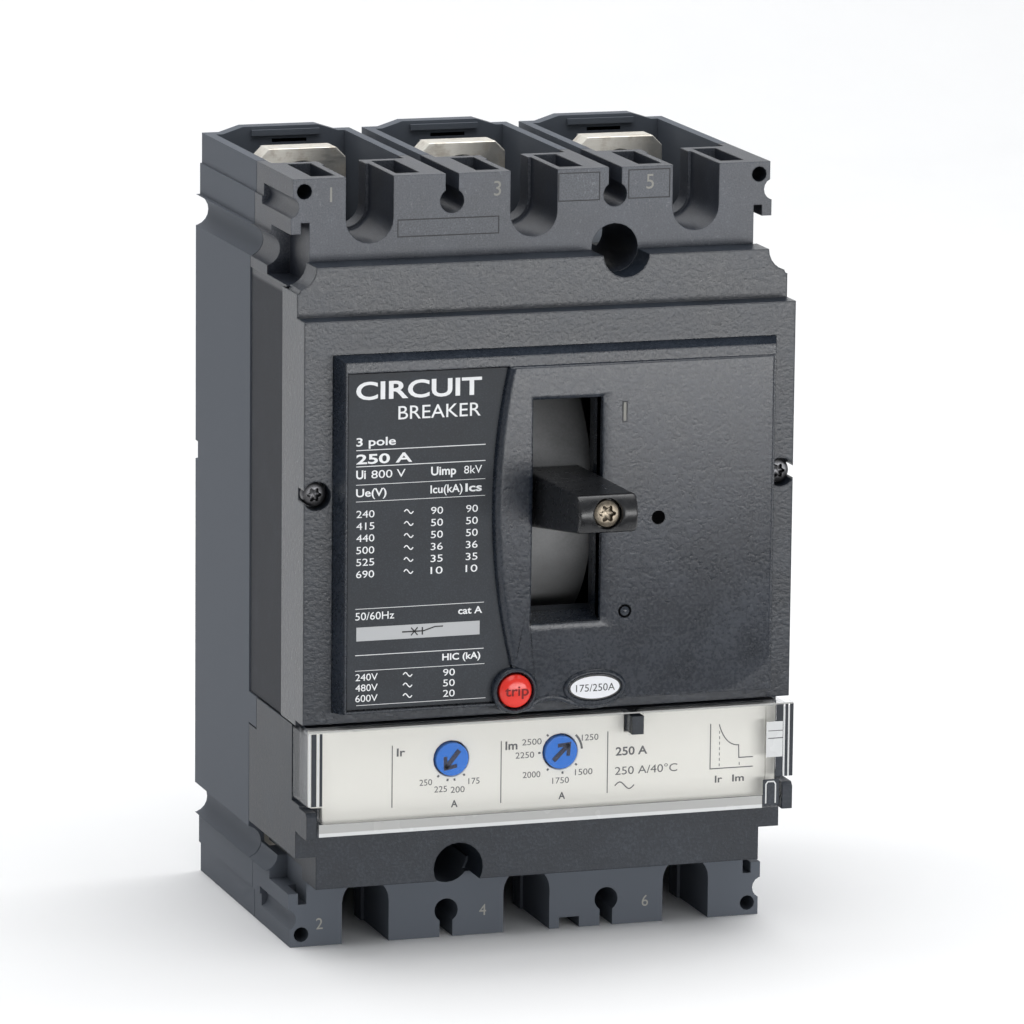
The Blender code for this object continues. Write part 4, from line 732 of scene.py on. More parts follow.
SHARP = math.radians(32.0)  # CAD edges sharper than this are rounded, or shaded as edges
FLAT = math.radians(0.6)  # CAD faces that meet at less than this are joined
WELD = 1e-6  # CAD points nearer than this, in metres, are joined
LEAST_WIDTH = 2.4  # a face takes an edge radius when it is this many radii wide
STEPS_ACROSS = 2  # steps across a rounded edge


def choose_edges(work: bmesh.types.BMesh, radius: float) -> None:
    """Weigh the edges to round: sharp outer edges whose two faces are wide enough to take the radius.

    A face's width is taken as its area over its longest edge.

    Args:
        work: The mesh.
        radius: Edge radius in metres.
    """
    layer = work.edges.layers.float.new("bevel_weight_edge")
    wide = {face: face.calc_area() / max(edge.calc_length() for edge in face.edges) for face in work.faces}
    for edge in work.edges:
        if len(edge.link_faces) == 2 and edge.is_convex and edge.calc_face_angle() > SHARP:
            edge[layer] = float(min(wide[face] for face in edge.link_faces) > LEAST_WIDTH * radius)
    for edge in work.edges:
        edge.smooth = len(edge.link_faces) == 2 and (edge[layer] > 0 or edge.calc_face_angle() < SHARP)


def crisp(node: str, name: str, finish: Finish, body: str, slot: str, radius: float = 0.3) -> Object:
    """Stand a softened copy in for a CAD node, with a small radius on each moulded edge.

    Args:
        node: The CAD node.
        name: The copy's name.
        finish: Its finish.
        body: The body that it rides on.
        slot: The record's material slot.
        radius: Edge radius in millimetres, or 0 where the finish rounds the edges by itself.

    Returns:
        The copy.
    """
    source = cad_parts[node].data
    points = np.empty(3 * len(source.vertices))
    source.vertices.foreach_get("co", points)
    corners = np.empty(len(source.loops), int)
    source.loops.foreach_get("vertex_index", corners)
    mesh = new_mesh(name, points.reshape(-1, 3), corners.reshape(-1, 3).tolist())
    work = bmesh.new()
    work.from_mesh(mesh)
    bmesh.ops.remove_doubles(work, verts=work.verts, dist=WELD)
    if radius:
        bmesh.ops.dissolve_limit(work, angle_limit=FLAT, verts=work.verts, edges=work.edges)
        choose_edges(work, radius * MM)
    work.to_mesh(mesh)
    work.free()
    mesh.shade_smooth()
    made = new_object(name, mesh)
    if radius:
        edge = made.modifiers.new("edges", "BEVEL")
        edge.width = radius * MM
        edge.segments = STEPS_ACROSS
        edge.limit_method = "WEIGHT"
        edge.use_clamp_overlap = False
        edge.harden_normals = True
        edge.miter_outer = "MITER_ARC"
    else:
        mesh.set_sharp_from_angle(angle=SHARP)
    return settle(made, finish, body, node, slot=slot)


@dataclass
class Facing:
    """A plane to lay shapes on: an origin, and the directions right, up and out, in millimetres."""

    origin: Point
    right: Point = (1.0, 0.0, 0.0)
    up: Point = (0.0, 0.0, 1.0)
    out: Point = (0.0, -1.0, 0.0)

    def lay(self, across: Array, along: Array, height: Array) -> Array:
        """Points at origin + across * right + along * up + height * out.

        Args:
            across: Distances to the right.
            along: Distances up.
            height: Distances out of the plane.

        Returns:
            Points with the same shape and a last axis of three.
        """
        parts = np.broadcast_arrays(across, along, height)
        axes = (self.right, self.up, self.out)
        return np.array(self.origin) + sum(part[..., None] * np.array(axis) for part, axis in zip(parts, axes))


def front(depth: float) -> Facing:
    """The plane that faces the viewer at a depth in front of the mounting face."""
    return Facing((0.0, -depth, 0.0))


def turned(facing: Facing, radii: Array, heights: Array, count: int = 64) -> Mesh:
    """A turned shell: the profile (radius, height) carried round the facing's normal.

    Args:
        facing: Where it stands.
        radii: Radius of each ring, or of each ring and angle.
        heights: Height of each ring.
        count: Steps round.

    Returns:
        The vertices and the faces.
    """
    angle = around(count)
    radii = np.asarray(radii, float)
    radii = radii if radii.ndim == 2 else radii[:, None]
    tall = np.asarray(heights, float)[:, None]
    return loft(facing.lay(radii * np.cos(angle), radii * np.sin(angle), tall + 0.0 * angle))


def screw_head(facing: Facing, radius: float, recess: float) -> Mesh:
    """A domed screw head with a lobed recess.

    The recess's radius at angle a is recess * (0.84 + 0.16 cos(lobes * a)). Rings go from the floor of
    the recess, up its wall, over the dome and down the side.

    Args:
        facing: The centre of the head's top, and its direction.
        radius: Outer radius.
        recess: Radius of the recess at its lobes.

    Returns:
        The vertices and the faces.
    """
    angle, height, lobes = around(96), 2.0, 6
    star = recess * (0.84 + 0.16 * np.cos(lobes * angle))
    plain = radius * np.ones_like(angle)
    inside = [star * 0.55, star * 0.86, star * 0.96, star * 1.04]
    radii = np.stack([*inside, plain * 0.8, plain * 0.94, plain, plain])
    heights = np.array([-0.62, -0.55, -0.08, 0.0, -0.03, -0.12, -0.32, -1.0]) * height
    return turned(facing, radii, heights, 96)


class Ink(Shell):
    """Print on one plane, gathered into a single piece of thin closed shapes."""

    unit: Point = (0.73, 0.73, 0.02)  # size of a capital and depth of a letter as they are made
    sunk: float = 0.01  # how far print reaches into the surface below it
    _glyphs: dict[tuple[str, float], Mesh] = {}

    def __init__(self, name: str, plane: Facing, thickness: float = 0.04) -> None:
        """Start a sheet of print.

        Args:
            name: The piece's name.
            plane: The plane that it lies on.
            thickness: How far it stands out.
        """
        super().__init__(name)
        self.plane = plane
        self.thickness = thickness

    @classmethod
    def letters(cls, text: str, bold: float) -> Mesh:
        """The mesh of a word in a plain face, with capitals one unit high.

        Args:
            text: The word.
            bold: How far the strokes are thickened, in parts of the type size.

        Returns:
            Vertices and faces; the third coordinate is 0 or 1.
        """
        if (text, bold) not in cls._glyphs:
            words = bpy.data.curves.new("word", "FONT")
            words.body, words.extrude, words.offset, words.resolution_u = text, 0.01, bold, 4
            holder = new_object("word", words)
            bpy.context.view_layer.update()
            graph = bpy.context.evaluated_depsgraph_get()
            mesh = bpy.data.meshes.new_from_object(holder.evaluated_get(graph))
            points = np.empty(len(mesh.vertices) * 3)
            mesh.vertices.foreach_get("co", points)
            points = points.reshape(-1, 3) / cls.unit + (0.0, 0.0, 0.5)
            cls._glyphs[text, bold] = points, [list(face.vertices) for face in mesh.polygons]
            bpy.data.objects.remove(holder)
            bpy.data.curves.remove(words)
            bpy.data.meshes.remove(mesh)
        return cls._glyphs[text, bold]

    def word(
        self,
        text: str,
        left: float,
        base: float,
        cap: float,
        right: float | None = None,
        bold: float = 0.0,
        centre: bool = False,
    ) -> "Ink":
        """Print a word.

        Args:
            text: The word.
            left: Its left edge, or its middle with centre.
            base: Height of its base line.
            cap: Height of its capitals.
            right: Its right edge, to which it is stretched.
            bold: How far its strokes are thickened.
            centre: Whether left is its middle.

        Returns:
            This sheet.
        """
        points, faces = self.letters(text, bold)
        low, high = points[:, 0].min(), points[:, 0].max()
        wide = (right - left) / (high - low) if right is not None else cap * 0.96
        start = left - wide * (high - low) / 2 if centre else left
        height = points[:, 2] * (self.thickness + self.sunk) - self.sunk
        self.add(self.plane.lay(start + (points[:, 0] - low) * wide, base + points[:, 1] * cap, height), faces)
        return self

    def words(self, *rows: tuple) -> "Ink":
        """Print several words.

        Args:
            rows: What word takes, in its order, for each word.

        Returns:
            This sheet.
        """
        for row in rows:
            self.word(*row)
        return self

    def stroke(self, path: Sequence[Sequence[float]], width: float, closed: bool = False) -> "Ink":
        """Draw a line of even width: each point is moved half the width along the mitred normal to both sides.

        Args:
            path: Points across and up.
            width: The line's width.
            closed: Whether it joins its own start.

        Returns:
            This sheet.
        """
        line = np.asarray(path, float)
        left, right = moved(line, width / 2, closed), moved(line, -width / 2, closed)
        corners = np.stack([left, right, right, left], 1)
        height = np.array([self.thickness, self.thickness, -self.sunk, -self.sunk])
        self.add(*loft(self.plane.lay(corners[..., 0], corners[..., 1], height[None, :]), closed))
        return self

    def patch(self, left: float, right: float, low: float, high: float) -> "Ink":
        """Fill a rectangle."""
        middle = (low + high) / 2
        return self.stroke([(left, middle), (right, middle)], high - low)

    def patches(self, *rows: Box) -> "Ink":
        """Fill several rectangles.

        Args:
            rows: Left, right, low and high of each.

        Returns:
            This sheet.
        """
        for row in rows:
            self.patch(*row)
        return self

    def frame(self, left: float, right: float, low: float, high: float, width: float = 0.25) -> "Ink":
        """Outline a rectangle."""
        return self.stroke([(left, low), (right, low), (right, high), (left, high)], width, True)

    def wave(self, left: float, base: float, length: float, height: float, width: float = 0.22) -> "Ink":
        """Draw one period of a sine: up = height * sin(2 pi t) over t from 0 to 1."""
        t = np.linspace(0.0, 1.0, 17)
        return self.stroke(np.stack([left + t * length, base + height * np.sin(2 * np.pi * t)], 1), width)

    def disc(self, across: float, up: float, radii: Pair) -> "Ink":
        """Fill an ellipse.

        Args:
            across: Its centre's distance to the right.
            up: Its centre's distance up.
            radii: Its two half axes.

        Returns:
            This sheet.
        """
        ring = ellipse((across, up), radii, 64).T
        heights = (-self.sunk, self.thickness)
        self.add(*loft(np.stack([self.plane.lay(*ring, np.full(64, height)) for height in heights])))
        return self


# ------------------------------------------------------------- sub-assemblies


@dataclass
class Housing:
    """Rear case, middle case, load end and front cover, with their screws and moulded marks."""

    terminal_depth: float = 68.0
    rear_wall: float = 3.5
    numeral: float = 3.2
    load_numeral: float = 2.5
    poles: tuple[float, ...] = (-35.0, 0.0, 35.0)
    frames: tuple[Box, ...] = (
        (5.3, 14.1, 73.3, 79.0),
        (20.4, 29.3, 73.35, 79.2),
        (-29.0, -7.5, 67.3, 70.75),
    )
    numerals: tuple[tuple[str, float, float], ...] = (
        ("1", -43.4, 75.0),
        ("3", -8.6, 75.0),
        ("5", 24.2, 75.2),
        ("2", -45.6, -76.4),
        ("4", -10.3, -75.9),
        ("6", 25.4, -76.4),
    )

    def build(self) -> None:
        """Build every piece of the housing."""
        for node, name, finish in (
            ("rear_case", "rear_shell", Finish.CASE),
            ("middle_case", "middle_shell", Finish.MIDDLE),
            ("load_terminal_block", "load_end", Finish.CASE),
            ("front_cover", "front_shell", Finish.COVER),
        ):
            crisp(node, name, finish, "housing", "case_plastic", 0.0)
        self.marks()
        self.tabs()
        self.screws()

    def tabs(self) -> None:
        """The raised strip, and the slot on the rear wall of each line terminal as a dark sheet of painted
        shade.
        """
        wall = front(self.rear_wall)
        raised, slots = Ink("tab_strips", wall, 0.9), Ink("tab_slots", wall, 0.05)
        for pole in self.poles:
            raised.patch(pole - 6.5, pole + 8.4, 79.4, 80.6)
            slots.patch(pole - 1.9, pole + 5.65, 77.9, 78.6)
        raised.build(Finish.CASE, "housing")
        slots.build(Finish.HOLE, "housing")

    def marks(self) -> None:
        """Pole numbers, and the outlines of the marking fields on the terminal blocks drawn as painted groove
        shade.
        """
        plane = front(self.terminal_depth)
        numbers = Ink("pole_numbers", plane)
        for text, left, base in self.numerals:
            numbers.word(text, left, base, self.numeral if base > 0 else self.load_numeral)
        numbers.build(Finish.BEIGE_INK, "housing")
        outline = Ink("marking_fields", plane, 0.03)
        for left, right, low, high in self.frames:
            outline.frame(left, right, low, high, 0.22)
        outline.build(Finish.GROOVE_INK, "housing")

    def screws(self) -> None:
        """The two cover screws in their side recesses."""
        for side in ("left", "right"):
            node = f"cover_screw_{side}"
            low, high = box_of(node)
            x, _, z = (low + high) / 2
            wide, deep, _ = high - low
            head = Shell(f"cover_screw_head_{side}")
            head.add(*screw_head(Facing((x, low[1], z)), wide / 2, 1.5))
            shank = Facing((x, low[1] + 1.9, z), out=(0.0, 1.0, 0.0), right=(-1.0, 0.0, 0.0))
            head.add(*turned(shank, [1.4, 1.4, 0.9], [0.0, deep - 2.6, deep - 1.9], 32))
            head.build(Finish.DARK_SCREW, "housing", node, slot="zinc_steel")


@dataclass
class Field:
    """Raised, gently domed part of the plate, round the toggle window."""

    depth: float = 86.0
    right: float = 46.25
    top: float = 42.9
    bottom: float = -26.9
    window: Box = (-5.9, 8.8, -10.4, 35.9)
    button: Point = (-9.1, -24.2, 4.45)
    arc_radius: float = 135.0
    arc_left: float = -14.0
    arc_z: float = 14.0
    steps: int = 44

    def height(self, x: Array, z: Array) -> Array:
        """Height over the plate: 1.18 + 0.017 z - 0.0005 z^2 - 0.00035 (x - 5)^2, in millimetres."""
        return 1.177 + 0.01723 * z - 0.000497 * z**2 - 0.00035 * (x - 5.0) ** 2

    def left_side(self, z: Array) -> Array:
        """The left side: the arc left + r - sqrt(r^2 - (z - z0)^2), but never inside the button's circle.

        Args:
            z: Heights.

        Returns:
            Where the side is at each height.
        """
        arc = self.arc_left + self.arc_radius - np.sqrt(self.arc_radius**2 - (z - self.arc_z) ** 2)
        x, middle, radius = self.button
        across = radius**2 - (z - middle) ** 2
        return np.where(across > 0, np.maximum(arc, x + np.sqrt(np.maximum(across, 0.0))), arc)

    def outlines(self) -> tuple[Array, Array, Array]:
        """The outer outline, the window's outline and the width of the outer edge's slope.

        Both outlines run down the left side, along the bottom, up the right side and back along the top,
        with the same number of points on each side.

        Returns:
            Both outlines, shaped (4 * steps, 2), and the slope's width at each point.
        """
        t = np.linspace(0.0, 1.0, self.steps, endpoint=False)
        z = self.top + (self.bottom - self.top) * t
        foot, head = self.left_side(self.bottom), self.left_side(self.top)
        outer = np.concatenate(
            [
                np.stack([self.left_side(z), z], 1),
                np.stack([foot + (self.right - foot) * t, 0 * t + self.bottom], 1),
                np.stack([0 * t + self.right, self.bottom + (self.top - self.bottom) * t], 1),
                np.stack([self.right + (head - self.right) * t, 0 * t + self.top], 1),
            ]
        )
        x0, x1, z0, z1 = self.window
        inner = np.concatenate(
            [
                np.stack([0 * t + x0, z1 + (z0 - z1) * t], 1),
                np.stack([x0 + (x1 - x0) * t, 0 * t + z0], 1),
                np.stack([0 * t + x1, z0 + (z1 - z0) * t], 1),
                np.stack([x1 + (x0 - x1) * t, 0 * t + z1], 1),
            ]
        )
        slope = np.repeat([1.7, 0.45, 0.6, 0.45], self.steps)
        slope[: self.steps] = np.where(z < self.button[1] + self.button[2] + 1.0, 0.3, 1.7)
        return outer, inner, slope

    def build(self) -> None:
        """Build the field: rings from the window's wall, over its lip, across the dome and down the slope."""
        outer, inner, slope = self.outlines()
        rim, lip = moved(outer, slope), moved(inner, -0.4)
        floor = np.where(np.repeat([1, 0, 0, 0], self.steps) > 0, -0.75, -0.1)
        rings = [(inner, -2.2 + 0 * slope), (inner, self.height(*inner.T) - 0.42)]
        rings += [(moved(inner, -0.12), self.height(*inner.T) - 0.13), (lip, self.height(*lip.T))]
        for share in np.linspace(0.08, 0.92, 12):
            ring = lip + (rim - lip) * share
            rings.append((ring, self.height(*ring.T)))
        for share in np.linspace(0.0, 1.0, 9):
            ring = moved(outer, slope * (1 - share))
            high = self.height(*ring.T)
            rings.append((ring, floor + (high - floor) * np.sqrt(np.maximum(0.0, 1 - share**2.4))))
        rings.append((outer, -2.2 + 0 * slope))
        plane = front(self.depth)
        stack = np.stack([plane.lay(ring[:, 0], ring[:, 1], high) for ring, high in rings])
        Shell("plate_field").add(*loft(stack, closed=True)).build(Finish.PLATE, "housing", soft=40.0)


@dataclass
class FacePlate:
    """Raised plate with its domed field, position marks, bezels and rating oval."""

    depth: float = 86.0
    on_mark: Pair = (13.6, 32.7)
    off_mark: Pair = (14.2, -8.8)
    trip_mark: Pair = (21.1, 10.4)
    button: Pair = (-9.1, -24.2)
    oval: Pair = (8.0, -24.4)
    bead: float = 0.6
    bead_path: tuple[Pair, ...] = (
        *((-13.2, -25.0), (-12.6, -27.2), (-10.9, -28.3), (-9.0, -28.45), (-7.0, -28.2)),
        *((-5.2, -27.2), (-3.5, -26.3), (-1.6, -25.9), (0.8, -26.3), (3.6, -27.6)),
        *((6.9, -28.5), (10.2, -28.4), (12.9, -27.1), (14.6, -24.6)),
    )
    shape: Field = field(default_factory=Field)

    @property
    def rims(self) -> tuple:
        """Centre, inner and outer half axes of the button's rim and of the oval's."""
        return (self.button, (3.85, 3.85), (4.75, 4.75)), (self.oval, (5.75, 2.8), (6.7, 3.85))

    def build(self) -> None:
        """Build every piece of the plate."""
        crisp("face_plate", "plate", Finish.PLATE, "housing", "case_plastic", 0.0)
        self.shape.build()
        self.position_marks()
        self.bezels()
        self.rating_oval()

    def over(self, place: Pair) -> Facing:
        """The plane that touches the domed field at a place."""
        return front(self.depth + float(self.shape.height(*place)))

    def position_marks(self) -> None:
        """The bar, the dimple and the hole of the three toggle positions; the hole, the ring round the dimple
        and the bar's outline are painted shade.
        """
        x, z = self.on_mark
        over_on, over_off = self.over(self.on_mark), self.over(self.off_mark)
        # The bar's outline is painted shade of the groove round it.
        outline = Ink("on_mark_outline", over_on, 0.05).frame(x - 0.45, x + 0.45, z - 2.1, z + 2.1, 0.2)
        outline.build(Finish.GROOVE_INK, "housing")
        bar = Ink("on_mark", over_on, 0.05).patch(x - 0.28, x + 0.28, z - 1.9, z + 1.9)
        bar.build(Finish.BEIGE_INK, "housing")
        place = Facing((self.off_mark[0], over_off.origin[1], self.off_mark[1]))
        dimple = turned(place, [0.12, 0.5, 0.8, 1.0, 1.1, 1.5, 1.62], [0.3, 0.22, 0.05, 0.02, -0.1, -0.1, -0.2])
        Shell("off_mark").add(*dimple).build(Finish.PLATE, "housing", soft=60.0)
        # The tripped hole and the ring round the dimple are sheets of painted shade.
        hole = Ink("tripped_mark", self.over(self.trip_mark), 0.03).disc(*self.trip_mark, (1.45, 1.45))
        hole.build(Finish.HOLE, "housing")
        ring = Ink("off_mark_ring", over_off, 0.04).stroke(ellipse(self.off_mark, (1.2, 1.2), 40), 0.42, True)
        ring.build(Finish.HOLE, "housing")

    def bezels(self) -> None:
        """The rounded rims of the button and of the oval, and the bead that links them below.

        Each rim is an ellipse whose half axes grow from near to far as its section goes round. The bead is
        a tube along the smoothed path; its radius is bead * sin(pi t)^(1/4), with t from 0 to 1 along it.
        """
        angle = around(72)
        rims = Shell("bezels")
        heights = np.array([-2.5, 0.85, 1.1, 1.05, 0.7, -2.5])[:, None] + 0 * angle
        for (x, z), near, far in self.rims:
            across, along = (
                np.array([inner, inner, inner + 0.25, outer - 0.35, outer, outer])[:, None]
                for inner, outer in zip(near, far)
            )
            place = Facing((x, -self.depth, z))
            rims.add(*loft(place.lay(across * np.cos(angle), along * np.sin(angle), heights), closed=True))
        path, count = np.array(self.bead_path), 90
        t = np.linspace(0.0, len(path) - 1.0, count)
        line = np.stack([np.interp(t, np.arange(len(path)), axis) for axis in path.T], 1)
        for _ in range(6):
            line[1:-1] = (line[:-2] + 2 * line[1:-1] + line[2:]) / 4
        size = self.bead * np.sqrt(np.sin(np.pi * np.linspace(0.02, 0.98, count)) ** 0.5)
        turn = around(16)
        rings = [moved(line, size * math.cos(a), False) for a in turn]
        plane = front(self.depth)
        stack = np.stack([plane.lay(*ring.T, 0.15 + size * math.sin(a)) for ring, a in zip(rings, turn)], 1)
        rims.add(*loft(stack)).build(Finish.PLATE, "housing", soft=45.0)

    def rating_oval(self) -> None:
        """The white insert, its black rim and its print."""
        top = front(self.depth + 0.95)
        angle = around(72)
        place = Facing((self.oval[0], -self.depth, self.oval[1]))
        across, along = np.array([5.4, 5.6, 5.6, 5.5])[:, None], np.array([2.45, 2.65, 2.65, 2.55])[:, None]
        high = np.array([-0.3, -0.3, 0.85, 0.95])[:, None] + 0 * angle
        insert = Shell("oval_insert").add(*loft(place.lay(across * np.cos(angle), along * np.sin(angle), high)))
        insert.build(Finish.INSERT, "housing", "rating_insert", slot="insert_white")
        rim = Ink("oval_rim", top, 0.02).stroke(ellipse(self.oval, (5.45, 2.5), 72), 0.3, True)
        rim.build(Finish.BLACK_INK, "housing")
        Ink("oval_print", top, 0.02).word("175/250A", 3.9, -25.2, 1.6, 12.3).build(Finish.BLACK_INK, "housing")


@dataclass
class RatingLabel:
    """Printed rating plate on the left of the face plate."""

    left: float = -42.8
    right: float = -15.5
    bold: float = 0.022
    rules: tuple[Pair, ...] = (
        *((26.95, 27.1), (23.62, 23.77), (19.9, 20.0)),
        *((16.45, 16.55), (-5.65, -5.55), (-15.25, -15.12)),
    )
    volts: tuple[tuple[str, str], ...] = (
        *(("240", "90"), ("415", "50"), ("440", "50")),
        *(("500", "36"), ("525", "35"), ("690", "10")),
    )
    last_volts: tuple[tuple[str, str], ...] = (("240V", "90"), ("480V", "50"), ("600V", "20"))
    symbol_z: float = -10.83
    plane: Facing = field(default_factory=lambda: front(0.0), init=False)

    def build(self) -> None:
        """Build the sheet and its print."""
        dress("label_plate", Finish.LABEL)
        self.plane = front(-box_of("label_plate")[0][1])
        self.text()
        self.symbol()

    def text(self) -> None:
        """Headings, ratings and rules in white."""
        left, bold = self.left, self.bold
        ink = Ink("label_print", self.plane).words(
            ("CIRCUIT", -42.9, 37.4, 3.7, -16.4, 0.02),
            ("BREAKER", -34.0, 33.0, 2.9, -16.6),
            ("3 pole", left, 27.9, 1.75, -34.5, 0.015),
            ("250 A", left, 24.25, 2.0, -31.0, bold),
        )
        ink.patches(*((left, self.right, low, high) for low, high in self.rules))
        ink.patches((left, -15.3, -18.45, -18.35), (-42.5, -15.0, -25.6, -25.5))
        ink.words(
            ("Ui", left, 21.2, 1.8, None, bold),
            ("800 V", -39.6, 21.2, 1.7, -32.4),
            ("Uimp", -27.0, 21.2, 1.8, -21.7, bold),
            ("8kV", -20.0, 21.2, 1.7, -16.2),
            ("Ue(V)", left, 17.5, 1.7, -36.4, 0.015),
            ("Icu(kA)", -27.1, 17.5, 1.7, -20.3, 0.015),
            ("Ics", -19.7, 17.5, 1.7, -16.2, bold),
        )
        self.rows(ink, self.volts, (13.2, 2.474, 0.8), (1.55, -38.9), ((-26.95, -24.4), (-19.5, -17.0)))
        ink.words(
            ("50/60Hz", left, -7.9, 1.65, -34.6),
            ("cat A", -21.0, -7.8, 1.5, -15.9, 0.015),
            ("HIC (kA)", -24.3, -17.2, 1.4, -16.2, 0.02),
        )
        self.rows(ink, self.last_volts, (-20.46, 2.19, 0.75), (1.5, -38.0), ((-24.1, -21.6),))
        ink.build(Finish.WHITE_INK, "housing")

    def rows(
        self,
        ink: Ink,
        table: Sequence[tuple[str, str]],
        lines: Point,
        volt_size: Pair,
        columns: Sequence[Pair],
    ) -> None:
        """Print a table: a voltage, a wave and the same current in each column.

        Args:
            ink: The sheet.
            table: Voltage and current of each row.
            lines: Base of the first row, distance between rows and height of the wave over a base.
            volt_size: Height of the capitals, and the right edge of the voltages.
            columns: Left and right edge of each current.
        """
        first, pitch, lift = lines
        cap, edge = volt_size
        for row, (volt, amps) in enumerate(table):
            base = first - pitch * row
            ink.word(volt, self.left + 0.1, base, cap, edge)
            ink.wave(-32.6, base + lift, 1.9, 0.42)
            ink.words(*((amps, left, base, cap, right) for left, right in columns))

    def symbol(self) -> None:
        """The light strip with the breaker symbol."""
        z = self.symbol_z
        Ink("symbol_strip", self.plane, 0.03).patch(-42.57, -16.4, -12.25, -9.4).build(Finish.STRIP, "housing")
        lines = Ink("symbol_lines", front(0.03 - self.plane.origin[1]), 0.02)
        for path, width in (
            ([(-32.9, z), (-29.2, z)], 0.3),
            ([(-31.0, z - 0.8), (-29.6, z + 0.8)], 0.26),
            ([(-31.0, z + 0.8), (-29.6, z - 0.8)], 0.26),
            ([(-28.6, z - 0.8), (-28.6, z + 0.8)], 0.3),
            ([(-29.2, z), (-28.4, z), (-25.9, z + 0.75), (-24.2, z + 0.75)], 0.26),
        ):
            lines.stroke(path, width)
        lines.build(Finish.BLACK_INK, "housing")


@dataclass
class TripUnit:
    """Trip unit with its white face, printed scales, two dials and hinged clear cover."""

    case_depth: float = 78.72
    dial_z: float = -38.9
    current_x: float = -20.8
    magnetic_x: float = 2.65
    side_foot: float = -46.3
    current_marks: tuple[float, ...] = (231.5, 260, 279, 307.6)
    magnetic_marks: tuple[float, ...] = (127.6, 180, 233.7, 277, 320)
    ink_depth: float = field(default=0.0, init=False)

    def build(self) -> None:
        """Build every piece of the unit."""
        crisp("trip_unit_case", "unit_shell", Finish.UNIT, "housing", "case_plastic", 0.0)
        crisp("trip_unit_face", "unit_face", Finish.FACE, "housing", "face_white", 0.25)
        self.ink_depth = -box_of("trip_unit_face")[0][1]
        self.face_edge()
        self.scales()
        self.curve()
        self.dial("current_dial", self.current_x, self.current_marks[0])
        self.dial("magnetic_dial", self.magnetic_x, 45.0)
        self.pane()

    def face_edge(self) -> None:
        """The right edge of the white face, where it runs on towards the catch."""
        (_, _, foot), (right, _, head) = box_of("trip_unit_face")
        edge = Ink("face_edge", front(self.case_depth), self.ink_depth - self.case_depth)
        edge.patch(right, right + 2.0, foot + 0.3, head).build(Finish.FACE, "housing")

    def scales(self) -> None:
        """Separators, setting numbers and ticks."""
        ink = Ink("unit_print", front(self.ink_depth), 0.03)
        for x, top, low in ((-33.45, -35.4, -48.4), (-10.1, -35.9, -48.9), (12.95, -35.3, -48.3)):
            ink.stroke([(x, low), (x, top)], 0.2)
        bold, high = 0.022, 1.35
        ink.words(
            ("Ir", -32.5, -37.7, 1.7, -30.7, bold),
            ("Im", -9.2, -37.8, 1.8, -6.6, bold),
            ("250", -27.6, -44.2, high, -24.9),
            ("225", -24.4, -45.8, high, -21.7),
            ("200", -20.9, -46.1, high, -17.9),
            ("175", -17.1, -44.5, high, -14.7),
            ("2500", -5.6, -37.1, high, -1.4),
            ("2250", -7.0, -39.8, high, -3.0),
            ("2000", -5.4, -44.0, high, -1.6),
            ("1750", 1.0, -45.6, high, 4.6),
            ("1500", 5.9, -44.1, high, 9.7),
            ("1250", 7.3, -36.9, high, 10.9),
            ("A", -20.1, -49.1, 1.5, None, bold, True),
            ("A", 3.1, -48.9, 1.5, None, bold, True),
        )
        for centre, marks in ((self.current_x, self.current_marks), (self.magnetic_x, self.magnetic_marks)):
            for turn in map(math.radians, marks):
                ways = [(centre + r * math.cos(turn), self.dial_z + r * math.sin(turn)) for r in (4.25, 4.75)]
                ink.stroke(ways, 0.42)
        turn = np.radians(np.linspace(4.0, 45.0, 15))
        ink.stroke(np.stack([self.magnetic_x + 4.7 * np.cos(turn), self.dial_z + 4.7 * np.sin(turn)], 1), 0.45)
        ink.words(("250 A", 14.7, -40.5, 1.8, 21.6, 0.02), ("250 A/40°C", 14.6, -44.6, 1.75, 28.2))
        ink.wave(14.6, -46.9, 4.2, 0.75, 0.24)
        ink.words(("Ir", 36.5, -47.6, 1.5, 38.1, 0.02), ("Im", 40.3, -47.6, 1.5, 42.9, 0.02))
        ink.build(Finish.GREY_INK, "housing")

    def curve(self) -> None:
        """The small trip curve with its two axes and dashed marks."""
        ink = Ink("curve_print", front(self.ink_depth), 0.03)
        ink.stroke([(35.4, -35.1), (35.4, -44.65), (44.8, -44.65)], 0.22)
        t = np.linspace(0.0, 1.0, 12)
        fall = np.stack([37.3 + 4.3 * t**1.2, -35.3 - 4.6 * (1 - (1 - t) ** 2.2)], 1)
        ink.stroke(np.vstack([fall, [(41.7, -42.6), (44.8, -42.6)]]), 0.22)
        for x, top in ((37.4, -36.6), (41.8, -43.1)):
            for z in np.arange(-44.2, top, 1.15):
                ink.stroke([(x, z), (x, z + 0.6)], 0.16)
        ink.build(Finish.GREY_INK, "housing")

    def dial(self, node: str, x: float, points: float) -> None:
        """One dial with its arrow.

        Args:
            node: The CAD node and the body that it turns with.
            x: Its centre.
            points: Where its arrow points, in degrees from the right.
        """
        crisp(node, f"{node}_cap", Finish.DIAL, node, "dial_blue", 0.25)
        turn = math.radians(points)
        ahead = np.array([math.cos(turn), math.sin(turn)])
        aside = np.array([-ahead[1], ahead[0]])
        centre = np.array([x, self.dial_z])
        tip = centre + 2.35 * ahead
        arrow = Ink(f"{node}_arrow", front(-box_of(node)[0][1]), 0.03)
        arrow.stroke([centre - 2.3 * ahead, tip], 0.95)
        arrow.stroke([tip - 1.9 * ahead + 1.6 * aside, tip, tip - 1.9 * ahead - 1.6 * aside], 0.8)
        arrow.build(Finish.ARROW, node)

